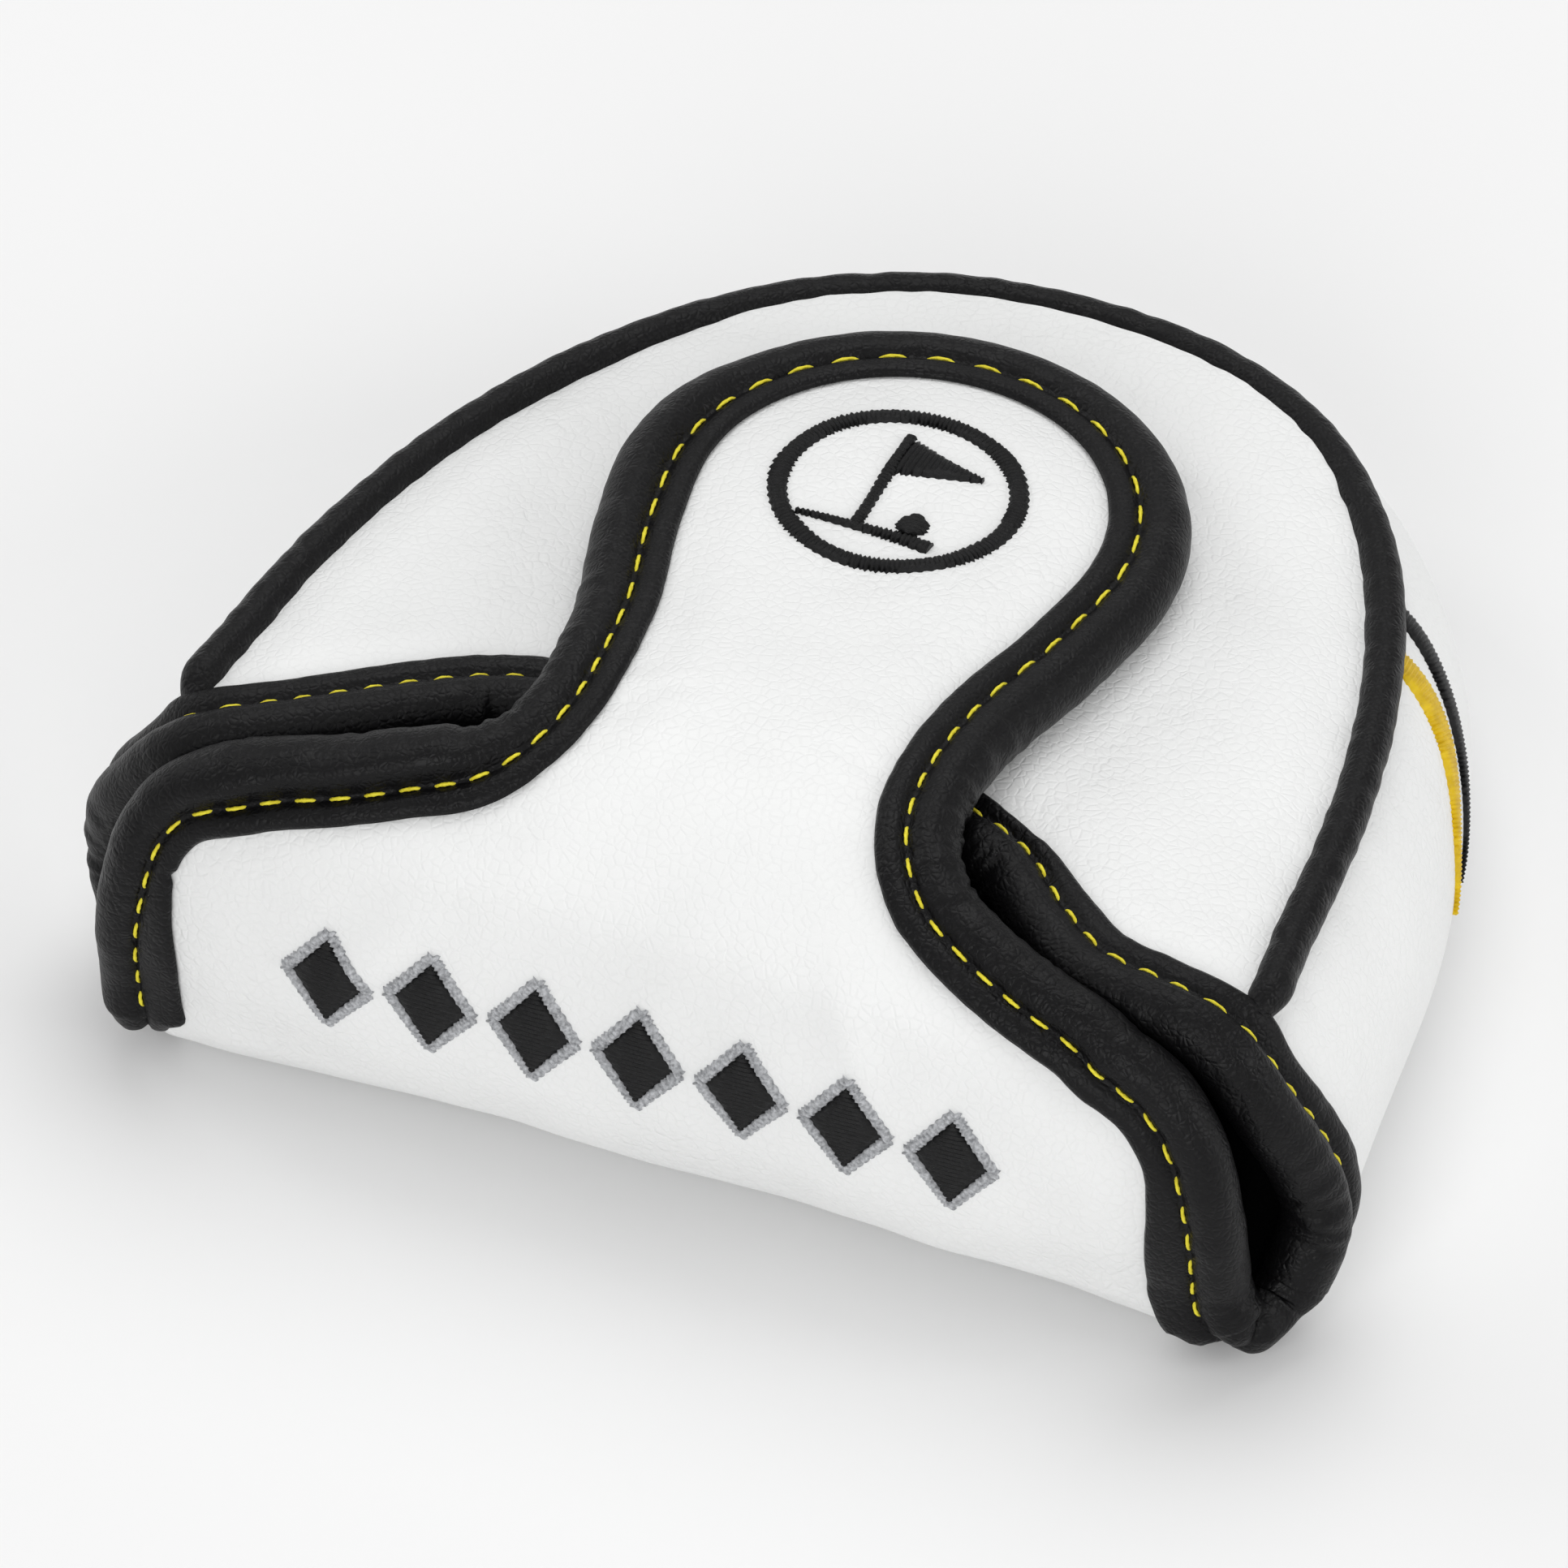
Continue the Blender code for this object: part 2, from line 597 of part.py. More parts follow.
def mouth_path(count=361):
    """Raw edge of the pouch's mouth from the left toe over the top to the right toe.

    Gives points, outward normals and the reach of the binding's lips.
    """
    top_x = np.array(MOUTH_TOP_SHARES) * HALF_WIDTH
    top_y = mouth_edge(top_x)
    top_y[-1] -= MOUTH_CORNER_ADVANCE
    top, top_normals = with_normals(top_surface, top_x, top_y, STACK / 2)
    heights = np.array(MOUTH_SIDE_SHARES)
    shares = gusset_front(heights) + 1e-4
    side, side_normals = with_normals(gusset_surface, shares, heights, STACK / 2)
    side[0, 1] -= MOUTH_CORNER_ADVANCE
    lips = np.full(len(top) + len(side), BINDING_LIP)
    lips[list(MOUTH_SHORT_LIPS)] = BINDING_SHORT_LIP
    points = np.concatenate([top, side])
    normals = np.concatenate([top_normals, side_normals])
    half = smooth_path(np.column_stack([points, normals, lips]), (count + 1) // 2)
    other = half[:0:-1] * (-1, 1, 1, -1, 1, 1, 1)
    whole = np.concatenate([other, half])
    return whole[:, :3], whole[:, 3:6], np.clip(whole[:, 6], BINDING_SHORT_LIP, BINDING_LIP)


def make_mouth_binding(looks, carrier):
    points, normals, lips = mouth_path()
    bound_edge("mouth", "", points, normals, lips, MOUTH_STATIONS, looks, carrier)


def make_flap(looks, carrier):
    layers("flap", flap_surface, [flap_pattern()] * 3, FLAP_GRID, looks, carrier)
    edge = flap_edge()
    edge = resampled(edge[edge[:, 1] > FLAP_TRIM_START], 161)
    lips = np.full(len(edge), BINDING_LIP)
    for suffix, outline in (("_right", edge), ("_left", mirrored(edge)[::-1])):
        points, normals = with_normals(flap_surface, *outline.T, STACK / 2)
        bound_edge("flap", suffix, points, normals, lips, FLAP_STATIONS, looks, carrier)


def make_tongue(looks, carrier):
    layers("tongue", tongue_surface, [tongue_pattern()] * 3, TONGUE_GRID, looks, carrier)
    half = tongue_edge()
    outline = resampled([*half, *mirrored(half[-2::-1])], 321)
    points, normals = with_normals(tongue_surface, *outline.T, STACK / 2)
    lips = np.full(len(points), BINDING_LIP)
    bound_edge("tongue", "", points, normals, lips, TONGUE_STATIONS, looks, carrier)
    lift = 2 * (PLY_GAP + PAD)
    wall_sheet("hook_pad", top_surface, pad_pattern, PAD_GRID, -lift, PAD, looks["fabric"], carrier)


def main():
    clear_scene()
    cover = bpy.data.collections.new("putter_head_cover")
    bpy.context.scene.collection.children.link(cover)
    looks = {
        "leather": material("white_leather", WHITE, 0.45),
        "foam": material("foam", FOAM_GREY, 0.9),
        "lining": material("lining", LINING_BLACK, 0.95),
        "trim": material("black_leather", BLACK, 0.42),
        "cord": material("filler_cord", CORD_WHITE, 0.9),
        "fabric": material("hook_and_loop", FABRIC_BLACK, 0.95),
    }
    rear = ELLIPSE_Y + REAR_LENGTH + FOOT_SPREAD / 2 + BELLY
    front = float(PROFILE[:, 0].min())
    centre = (rear + front) / 2
    base = pivot("cover_base", cover, (0.0, 0.0, 0.0))
    fold = pivot("front_fold_axis", cover, (0.0, FOLD_Y, FOLD_Z), base)
    neck_z = float(PROFILE[-1, 1]) + BINDING_OUTER - STACK / 2
    neck = pivot("tongue_fold_axis", cover, (0.0, NECK_Y, neck_z), fold)
    base.location = (0.0, -centre, 0.0)
    make_pouch(looks, base)
    make_flap(looks, fold)
    make_tongue(looks, neck)
    for name, empty in (("front fold", fold), ("tongue fold", neck)):
        place = Vector(empty["place"]) - Vector((0.0, centre, 0.0))
        print(f"{name} axis along X through y {place.y:.5f} z {place.z:.5f}")


main()
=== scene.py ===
"""Looks of the putter head cover: padded white leather, black rolled bindings, thread and lining.

Shapes are drawn in millimetres, in the same terms as the part's solids: lengths along Y are measured
from the bend of the front fold, and TO_WORLD moves them so that the origin is the middle of the base.
"""

import math

import bmesh
import bpy
import numpy as np
from mathutils import Matrix, Vector
from mathutils.geometry import delaunay_2d_cdt


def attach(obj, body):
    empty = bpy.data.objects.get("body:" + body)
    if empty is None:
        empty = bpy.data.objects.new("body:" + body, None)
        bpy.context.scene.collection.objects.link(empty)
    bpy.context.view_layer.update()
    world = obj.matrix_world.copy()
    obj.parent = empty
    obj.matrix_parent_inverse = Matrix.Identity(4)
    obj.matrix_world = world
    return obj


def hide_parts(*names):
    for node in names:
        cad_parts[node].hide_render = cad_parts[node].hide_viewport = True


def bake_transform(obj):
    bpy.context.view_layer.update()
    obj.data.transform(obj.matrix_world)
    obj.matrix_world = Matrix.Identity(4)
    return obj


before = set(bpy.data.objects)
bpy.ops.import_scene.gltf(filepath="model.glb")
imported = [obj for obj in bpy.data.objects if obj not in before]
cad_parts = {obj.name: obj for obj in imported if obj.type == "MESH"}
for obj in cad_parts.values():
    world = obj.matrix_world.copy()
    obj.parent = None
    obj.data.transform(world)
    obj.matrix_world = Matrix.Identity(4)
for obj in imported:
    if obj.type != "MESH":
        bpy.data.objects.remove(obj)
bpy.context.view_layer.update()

MM = 0.001

# Walls of the solids, from the outside in
LEATHER = 0.9
FOAM = 1.4
LINING = 0.9
PLY_GAP = 0.25
STACK = LEATHER + FOAM + LINING + 2 * PLY_GAP
SHELL = LEATHER + FOAM + PLY_GAP
LINING_DEPTH = SHELL + PLY_GAP

# Pouch
HALF_WIDTH = 58.0
REAR_LENGTH = 98.5
ELLIPSE_Y = 4.5
OUTLINE_POWER = 2.31
REAR_DRIFT = 4.5
GUSSET_FRONT_Y = 9.3
GUSSET_TOE_Y = 4.0
TOE_HEIGHT_SHARE = 0.50
SEAM_FRONT_Z = 38.0
SEAM_SLOPE = 0.11
CROWN = 4.0
FOOT_SPREAD = 3.5
BELLY = 6.4
FOOT_CLEARANCE = 0.25
GUSSET_DRAWN_IN = 0.9
GUSSET_CORNER_LIFT = 1.5
GUSSET_BULGE_FADE = 14.0
LINED_FROM_Y = 4.8
TOP_PUFF = 0.65
REAR_SWELL = 1.3

# Piping in the top seam
PIPING_RADIUS = 2.0
PIPING_COVER_RADIUS = 2.1
PIPING_REAR_OUT = 0.6
PIPING_SIDE_IN = 0.8
PIPING_END_IN = 0.9
PIPING_END_DROP = 1.2
PIPING_STATIONS = 420
TRIM_GAP = 0.3

# Mouth of the pouch
MOUTH_SIDE_Y = 9.8
MOUTH_CUT_DEPTH = 14.6
MOUTH_CUT_OUTER_X = HALF_WIDTH - 3.0
MOUTH_CUT_INNER_X = 20.0
MOUTH_TOP_SHARES = (0, 0.20, 0.36, 0.50, 0.62, 0.72, 0.82, 0.93)
MOUTH_SIDE_SHARES = (0.84, 0.66, 0.50, 0.36, 0.24, 0.14)
MOUTH_CORNER_ADVANCE = 1.1
MOUTH_TOE_RIGHT = (63.0, 4.0, 3.2), (62.2, 0.9, 2.3), (60.8, -3.4, 2.4)
MOUTH_TOE_LEFT = (59.6, 4.6, 3.0), (58.2, 1.8, 2.0), (56.8, -1.0, 1.8)
MOUTH_TOE_NORMAL = (1.0, 0.0, 0.15)
MOUTH_BULGE_RIGHT = 1.2
MOUTH_BULGE_LEFT = 0.8
MOUTH_TUCK_LEFT = 1.8
MOUTH_SETBACK = 1.7
MOUTH_LEAN_RIGHT = 3.7
MOUTH_LEAN_LEFT = 1.7
MOUTH_LEAN_X = 38.0
MOUTH_LEAN_SPREAD = 16.0
MOUTH_LEAN_FADE = 14.0
MOUTH_WAVE_BACK = 1.1
MOUTH_WAVE_BACK_X = 27.0
MOUTH_WAVE_BACK_SPREAD = 6.0
MOUTH_WAVE_AHEAD = 1.3
MOUTH_WAVE_AHEAD_X = 39.5
MOUTH_WAVE_AHEAD_SPREAD = 4.5
MOUTH_BARE_LENGTH = 12.0
MOUTH_LOW_SHARE = 0.72
MOUTH_LOW_FADE = 0.45

# Fold and flap
FOLD_RADIUS = 5.8
FOLD_SPLIT = math.radians(45)
FOLD_LENGTH = FOLD_RADIUS * FOLD_SPLIT
FOLD_TUCK = 1.5
FOLD_RISE = 2.6
FOLD_RISE_REACH = 9.0
FOLD_RISE_LEFT = (-64.0, 56.0)
FOLD_RISE_RIGHT = (-66.0, 30.0)
TUCKED_HALF_WIDTH = 53.8
WALL_BELLY = 1.8
BROW_DROP = 14.5
NECK_Y = 20.0
BROW_LENGTH = NECK_Y + FOLD_RADIUS
NECK_RISE = 0.7
NECK_RISE_LENGTH = 24.0
NECK_EASE = 7.0
NECK_EASE_SPREAD = 11.0
SIDE_WRAP = 2.0
WALL_HALF_WIDTH = HALF_WIDTH - 2.0
SHOULDER_LENGTH = 27.0
SHOULDER_SAG_RIGHT = 2.6
SHOULDER_SAG_LEFT = 1.0
SHOULDER_RISE_LEFT = 1.1
NECK_HALF_WIDTH = 17.8
TONGUE_HALF_WIDTH = 23.6
TONGUE_WIDEST_Y = 58.5
TONGUE_END_LENGTH = 24.6
NECK_FLARE = 0.8
NECK_FLARE_SHARE = 0.28
TONGUE_TAPER = 1.4
TONGUE_TAPER_SHARE = 0.70
WALL_STRAIGHT_SHARE = 0.60
CROWN_FROM_SHARE = 0.30
CROWN_TO_SHARE = 0.70
BROW_CURVE = (0.09, 0.64), (0.26, 0.37), (0.46, 0.18), (0.69, 0.05)
SHOULDER_CURVE = (0.92, -0.115), (0.75, 0.01), (0.47, 0.16), (0.31, 0.27), (0.16, 0.41), (0.05, 0.63)
PAD = 0.8
PAD_HALF_WIDTH = 11.0
PAD_HALF_LENGTH = 14.0
PAD_CORNER = 4.0
TONGUE_LIFT = STACK + 2 * PAD + 3 * PLY_GAP
LINING_SPLIT = 20.0
FLAP_FACE_START = 5.0
NECK_BLEND = (-5.0, 22.0)
FOLD_BLEND = (0.0, 4.0, 2.8), (0.0, -4.5, 12.0)
FLAP_PUFF = 0.75

# Low ridges on the flap: start and end as (x, along), half width and height
SOFT_FOLDS = (
    ((-20.0, 47.0), (-37.0, 15.0), 3.0, 0.85),
    ((-29.0, 45.0), (-45.0, 17.0), 2.8, 0.60),
    ((15.0, 46.0), (25.0, 23.0), 2.5, 0.75),
)

# Rolled bindings and their stitches
ROLL_RADIUS = 3.25
ROLL_CENTRE = 2.4
ROLL_END_LENGTH = 3.0
LIP_REACH = 2.8
WALL_LIP_EXTRA = 1.6
LIP_OVER_PIPING = 1.3
FLAP_TRIM_START = 0.6
FLAP_END_RIGHT = (3.0, 0.9, 0.8)
FLAP_END_LEFT = (0.4, 1.0, 1.4)
LEFT_SHOULDER = (-54.0, -4.0, 29.0)
STITCH_TOWARD = -0.3
LONG_PITCH = 4.8
SHORT_PITCH = 3.57
STITCH_SHARE = 0.70
THREAD_RADIUS = 0.18


def ramp(value, start=0.0, length=1.0):
    """0 up to the start, then an S-shaped rise to 1 over a length."""
    t = np.clip((value - start) / length, 0.0, 1.0)
    return t * t * (3 - 2 * t)


def bell(offset, width):
    """1 at no offset, fading to 0 on both sides."""
    return np.exp(-((offset / width) ** 2))


def unit(vectors):
    return vectors / np.linalg.norm(vectors, axis=-1, keepdims=True)


def coords(*values):
    """Values side by side, as coordinates of points."""
    return np.stack(values, axis=-1)


def path_lengths(points):
    steps = np.linalg.norm(np.diff(points[:, :3], axis=0), axis=1)
    return np.concatenate([[0], np.cumsum(steps)])


def looked_up(wanted, along, table):
    """Rows of a table whose rows stand at places along a line, at the wanted places."""
    return np.stack([np.interp(wanted, along, column) for column in table.T], axis=-1)


def resampled(points, count):
    """That many points, evenly spaced along a polyline. Columns past the third go along."""
    points = np.asarray(points, float)
    along = path_lengths(points)
    return looked_up(np.linspace(0, along[-1], count), along, points)


def smooth_path(points, count, steps=24):
    """A smooth curve through the points, as evenly spaced points."""
    points = np.asarray(points, float)
    chords = np.diff(points, axis=0)
    spans = np.linalg.norm(chords[:, :3], axis=1)[:, None]
    slopes = chords / spans
    middle = (slopes[:-1] * spans[1:] + slopes[1:] * spans[:-1]) / (spans[1:] + spans[:-1])
    first, last = 1.5 * slopes[:1] - 0.5 * middle[:1], 1.5 * slopes[-1:] - 0.5 * middle[-1:]
    tangents = np.concatenate([first, middle, last])
    t = np.linspace(0, 1, steps, endpoint=False)[:, None]
    rise, leave, arrive = 3 * t**2 - 2 * t**3, t - 2 * t**2 + t**3, t**3 - t**2
    curve = [
        start + rise * (end - start) + span * (leave * out + arrive * back)
        for start, end, span, out, back in zip(points, points[1:], spans, tangents, tangents[1:])
    ]
    return resampled(np.concatenate([*curve, points[-1:]]), count)


def waves(s, t, size, seed, count=10):
    """Smooth uneven waves of about that length, mostly between -1 and 1."""
    draw = np.random.default_rng(seed)
    total = 0.0
    for _ in range(count):
        turn, phase = draw.uniform(0, math.tau, 2)
        rate = math.tau / size * draw.uniform(0.6, 1.4)
        total = total + np.sin(rate * (s * math.cos(turn) + t * math.sin(turn)) + phase)
    return total / math.sqrt(count)


def margin_to(s, t, line, chunk=2000):
    """Distance of each place to a polyline."""
    places = coords(np.ravel(s), np.ravel(t))
    begin, chord = line[:-1], np.diff(line, axis=0)
    square = (chord**2).sum(1)
    found = []
    for at in range(0, len(places), chunk):
        away = places[at: at + chunk, None] - begin
        share = np.clip((away * chord).sum(2) / square, 0, 1)
        found.append(np.linalg.norm(away - share[..., None] * chord, axis=2).min(1))
    return np.concatenate(found).reshape(np.shape(s))


# Surfaces of the walls: each gives points on the outer face of the solids

def plan_curve(count=361):
    """Outline of the top seam from the right mouth corner round the rear to the left one."""
    turn = np.linspace(math.pi / 2, -math.pi / 2, count)
    across, behind = np.sin(turn), np.clip(np.cos(turn), 0, 1)
    x = HALF_WIDTH * np.sign(across) * np.abs(across) ** (2 / OUTLINE_POWER) + REAR_DRIFT * behind**2
    y = ELLIPSE_Y + REAR_LENGTH * behind ** (2 / OUTLINE_POWER)
    arc = coords(x, y)
    return resampled([(HALF_WIDTH, GUSSET_TOE_Y), *arc, (-HALF_WIDTH, GUSSET_TOE_Y)], count)


PLAN = plan_curve()
PLAN_SHARE = np.linspace(0, 1, len(PLAN))
PLAN_TANGENT = unit(np.gradient(PLAN, axis=0))
PLAN_NORMAL = coords(PLAN_TANGENT[:, 1], -PLAN_TANGENT[:, 0])
PLAN_LENGTH = path_lengths(PLAN)[-1]


def plan_point(share, offset=0.0):
    """A point of the seam's outline, moved outward by an offset."""
    outward = np.asarray(offset)[..., None] * looked_up(share, PLAN_SHARE, PLAN_NORMAL)
    return looked_up(share, PLAN_SHARE, PLAN) + outward


def seam_height(y):
    return SEAM_FRONT_Z - SEAM_SLOPE * (y - GUSSET_FRONT_Y)


def top_surface(x, y):
    behind = (np.maximum(y - ELLIPSE_Y, 0) / REAR_LENGTH) ** OUTLINE_POWER
    aside = np.abs((x - REAR_DRIFT * behind) / HALF_WIDTH) ** OUTLINE_POWER
    crown = CROWN * (1 - aside - behind)
    return coords(x, y, seam_height(y) + crown)


def gusset_surface(share, height):
    """The side wall: share runs round the pouch, height from the foot to the top seam."""
    swell = FOOT_SPREAD * (1 - height) + 4 * BELLY * height * (1 - height)
    top = seam_height(plan_point(share)[..., 1]) - PIPING_RADIUS - TRIM_GAP
    z = FOOT_CLEARANCE + height * (top - FOOT_CLEARANCE)
    return np.concatenate([plan_point(share, swell), z[..., None]], axis=-1)


def gusset_cloth(along, up):
    """The side wall, by lengths: along the seam from the right mouth corner, and up from the foot."""
    return gusset_surface(along / PLAN_LENGTH, up / SEAM_FRONT_Z)


def gusset_front(height):
    """Share of the outline at which the gusset begins: its foot reaches further forward."""
    forward = ramp(TOE_HEIGHT_SHARE - height, 0, TOE_HEIGHT_SHARE)
    return (GUSSET_FRONT_Y - GUSSET_TOE_Y) * (1 - forward) / PLAN_LENGTH


def fold_rise(x, reach):
    """How far the soft fold stands back and up from the solids', at a distance from the fold's line."""
    across = ramp(x, *FOLD_RISE_LEFT) * ramp(-x, *FOLD_RISE_RIGHT)
    size = FOLD_RISE * across * bell(reach, FOLD_RISE_REACH)
    return coords(0 * size, size, size) * math.sqrt(0.5)


def bottom_surface(x, along):
    """The flat bottom, which turns up into the fold where along is below 0."""
    angle = np.maximum(-along, 0) / FOLD_RADIUS
    y = np.where(along > 0, along, -FOLD_RADIUS * np.sin(angle))
    points = coords(x, y, FOLD_RADIUS * (1 - np.cos(angle)))
    return points + fold_rise(x, along + FOLD_LENGTH)


def tongue_surface(x, y):
    """The flap behind the neck, lying on the pads above the top panel."""
    rise = NECK_RISE * ramp(NECK_Y + NECK_RISE_LENGTH - y, 0, NECK_RISE_LENGTH)
    points = top_surface(x, y)
    points[..., 2] += TONGUE_LIFT + rise
    return points


def flap_profile():
    """Side view of the flap's outer face, from the fold up the wall and over the brow to the neck."""
    neck_z = float(tongue_surface(np.array(0.0), np.array(NECK_Y))[2])
    beyond = tongue_surface(np.array(0.0), np.array(NECK_Y + NECK_RISE_LENGTH / 3))
    bend = np.linspace(FOLD_SPLIT, math.pi / 2, 4)
    fold = [(-FOLD_RADIUS * math.sin(a), FOLD_RADIUS * (1 - math.cos(a))) for a in bend]
    brow_z = neck_z - BROW_DROP
    wall = [(-FOLD_RADIUS - WALL_BELLY, (FOLD_RADIUS + brow_z) / 2), (-FOLD_RADIUS, brow_z)]
    brow = [(NECK_Y - BROW_LENGTH * (1 - back), neck_z - BROW_DROP * low) for back, low in BROW_CURVE]
    points = smooth_path([*fold, *wall, *brow, (NECK_Y, neck_z), tuple(beyond[1:])], 800)
    return points[points[:, 0] <= NECK_Y]


PROFILE = flap_profile()
PROFILE_ALONG = path_lengths(PROFILE)
NECK_ALONG = float(PROFILE_ALONG[-1])
REAR_Y = ELLIPSE_Y + REAR_LENGTH + FOOT_SPREAD / 2 + BELLY
TO_WORLD = np.array([0.0, -(REAR_Y + float(PROFILE[:, 0].min())) / 2, 0.0])


def flap_front(x, along):
    """The flap before the neck: x across it, along from the fold up the wall and over the brow."""
    side = looked_up(along, PROFILE_ALONG, PROFILE)
    lifted = ramp(along / NECK_ALONG, CROWN_FROM_SHARE, CROWN_TO_SHARE - CROWN_FROM_SHARE)
    drop = CROWN * (np.minimum(np.abs(x), NECK_HALF_WIDTH) / HALF_WIDTH) ** OUTLINE_POWER * lifted
    upright = ramp(along, 0, 2 * FOLD_RADIUS) * (1 - ramp(along / NECK_ALONG, 2 / 3, 1 / 3))
    back = SIDE_WRAP * (np.abs(x) / WALL_HALF_WIDTH) ** 3 * upright
    return coords(x, side[..., 0] + back, side[..., 1] - drop) + fold_rise(x, along)


def flap_surface(x, along):
    """The whole flap, from the fold to the tongue's end, with the bend at the neck eased."""
    ease = NECK_EASE * bell(along - NECK_ALONG, NECK_EASE_SPREAD)
    return sum(bent_flap(x, along + share * ease) for share in (-1, -0.5, 0, 0.5, 1)) / 5


def bent_flap(x, along):
    before = flap_front(x, np.minimum(along, NECK_ALONG))
    behind = tongue_surface(x, NECK_Y + np.maximum(along - NECK_ALONG, 0))
    return np.where((along < NECK_ALONG)[..., None], before, behind)


def wall_and_floor(x, along):
    """The flap's wall where along is above 0, and the fold and the bottom where it is below."""
    floor = bottom_surface(x, -FOLD_LENGTH - np.minimum(along, 0))
    return np.where((along > 0)[..., None], flap_front(x, np.maximum(along, 0)), floor)


def with_normals(surface, s, t, step=0.01):
    """Points on a surface, and the outward normals there."""
    across = surface(s + step, t) - surface(s - step, t)
    along = surface(s, t + step) - surface(s, t - step)
    return surface(s, t), unit(np.cross(across, along))


def gusset_with_normals(share, height):
    return with_normals(gusset_surface, share, height, step=1e-5)


# Edges and outlines

def mirrored(points):
    return np.asarray(points) * (-1, 1)


def mouth_edge(x):
    """Y of the top panel's raw front edge."""
    reach = (MOUTH_CUT_OUTER_X - np.abs(x)) / (MOUTH_CUT_OUTER_X - MOUTH_CUT_INNER_X)
    lean = np.where(x > 0, MOUTH_LEAN_RIGHT, -MOUTH_LEAN_LEFT)
    lean = lean * bell(np.abs(x) - MOUTH_LEAN_X, MOUTH_LEAN_SPREAD)
    lean = lean * ramp(HALF_WIDTH - np.abs(x), 0, MOUTH_LEAN_FADE)
    back = MOUTH_WAVE_BACK * bell(x - MOUTH_WAVE_BACK_X, MOUTH_WAVE_BACK_SPREAD)
    ahead = MOUTH_WAVE_AHEAD * bell(x - MOUTH_WAVE_AHEAD_X, MOUTH_WAVE_AHEAD_SPREAD)
    return MOUTH_SIDE_Y + MOUTH_CUT_DEPTH * ramp(reach) - lean + back - ahead


def shoulder_edge():
    """Raw right-hand edge of the flap from the fold to the neck."""
    shoulder = NECK_ALONG - SHOULDER_LENGTH
    overhang = WALL_HALF_WIDTH - NECK_HALF_WIDTH
    curve = [
        (NECK_HALF_WIDTH + out * overhang, shoulder + up * SHOULDER_LENGTH)
        for out, up in SHOULDER_CURVE
    ]
    last_x, last_along = curve[-1]
    points = [
        (WALL_HALF_WIDTH, 0.0),
        (WALL_HALF_WIDTH, shoulder * WALL_STRAIGHT_SHARE),
        *curve,
        (NECK_HALF_WIDTH, NECK_ALONG),
        (last_x, 2 * NECK_ALONG - last_along),
    ]
    edge = smooth_path(points, 801)
    return edge[edge[:, 1] < NECK_ALONG]


def tongue_edge():
    """Raw right-hand edge of the tongue from the neck to the middle of its round end."""
    length = TONGUE_WIDEST_Y - NECK_Y
    end = [
        (TONGUE_HALF_WIDTH * math.cos(a), TONGUE_WIDEST_Y + TONGUE_END_LENGTH * math.sin(a))
        for a in np.linspace(0, math.pi / 2, 7)
    ]
    points = [
        (NECK_HALF_WIDTH + NECK_FLARE, NECK_Y - NECK_FLARE_SHARE * length),
        (NECK_HALF_WIDTH, NECK_Y),
        (NECK_HALF_WIDTH + NECK_FLARE, NECK_Y + NECK_FLARE_SHARE * length),
        (TONGUE_HALF_WIDTH - TONGUE_TAPER, NECK_Y + TONGUE_TAPER_SHARE * length),
        *end,
        mirrored(end[-2]),
    ]
    curve = smooth_path(points, 801)
    kept = (curve[:, 1] > NECK_Y + TRIM_GAP) & (curve[:, 0] > 0)
    return np.array([*curve[kept], end[-1]])


def flap_outline(count):
    """Raw edge of the flap from the right end of the fold round the tongue to the left end."""
    half = np.concatenate([shoulder_edge(), tongue_edge() + (0, NECK_ALONG - NECK_Y)])
    whole = resampled([*half, *mirrored(half[-2::-1])], count)
    x, along = whole.T
    sag = np.where(x > 0, SHOULDER_SAG_RIGHT, SHOULDER_SAG_LEFT) * ramp(np.abs(x), 40, 10)
    sag = sag * bell(along - NECK_ALONG + SHOULDER_LENGTH + 1, 7)
    rise = SHOULDER_RISE_LEFT * ramp(-x, 20, 12) * ramp(along, 0, 20)
    return coords(x - np.sign(x) * sag, along + rise)


def mouth_line(half_width):
    x = np.linspace(-half_width, half_width, 121)
    return coords(x, mouth_edge(x))


FLAP_OUTLINE = flap_outline(361)
MOUTH_LINE = mouth_line(HALF_WIDTH)


def frames_along(points, normals):
    """Normals square to a path, and the direction into the panel that it borders."""
    tangent = unit(np.gradient(points, axis=0))
    normal = unit(normals - tangent * (normals * tangent).sum(1)[:, None])
    return normal, np.cross(normal, tangent)


def flap_path(count=640):
    """Middle of the flap's raw edge in space, with its normals and the directions into the flap."""
    edge = flap_outline(4 * count)
    edge = resampled(edge[edge[:, 1] > FLAP_TRIM_START], count)
    points, normals = with_normals(flap_surface, *edge.T)
    low = 1 - ramp(edge[:, 1], 0, 10)
    ends = np.where(edge[:, :1] > 0, FLAP_END_RIGHT, FLAP_END_LEFT)
    points = points - STACK / 2 * normals + low[:, None] * ends
    return points, *frames_along(points, normals)


def low_on_mouth(height):
    """1 at the foot of the mouth's sides, 0 near the top."""
    return ramp(MOUTH_LOW_SHARE - height, 0, MOUTH_LOW_FADE)


def bulge_right(height):
    return MOUTH_BULGE_RIGHT * low_on_mouth(height)


def bulge_left(height):
    return MOUTH_BULGE_LEFT * bell(height - 0.68, 0.20) - MOUTH_TUCK_LEFT * ramp(0.42 - height, 0, 0.34)


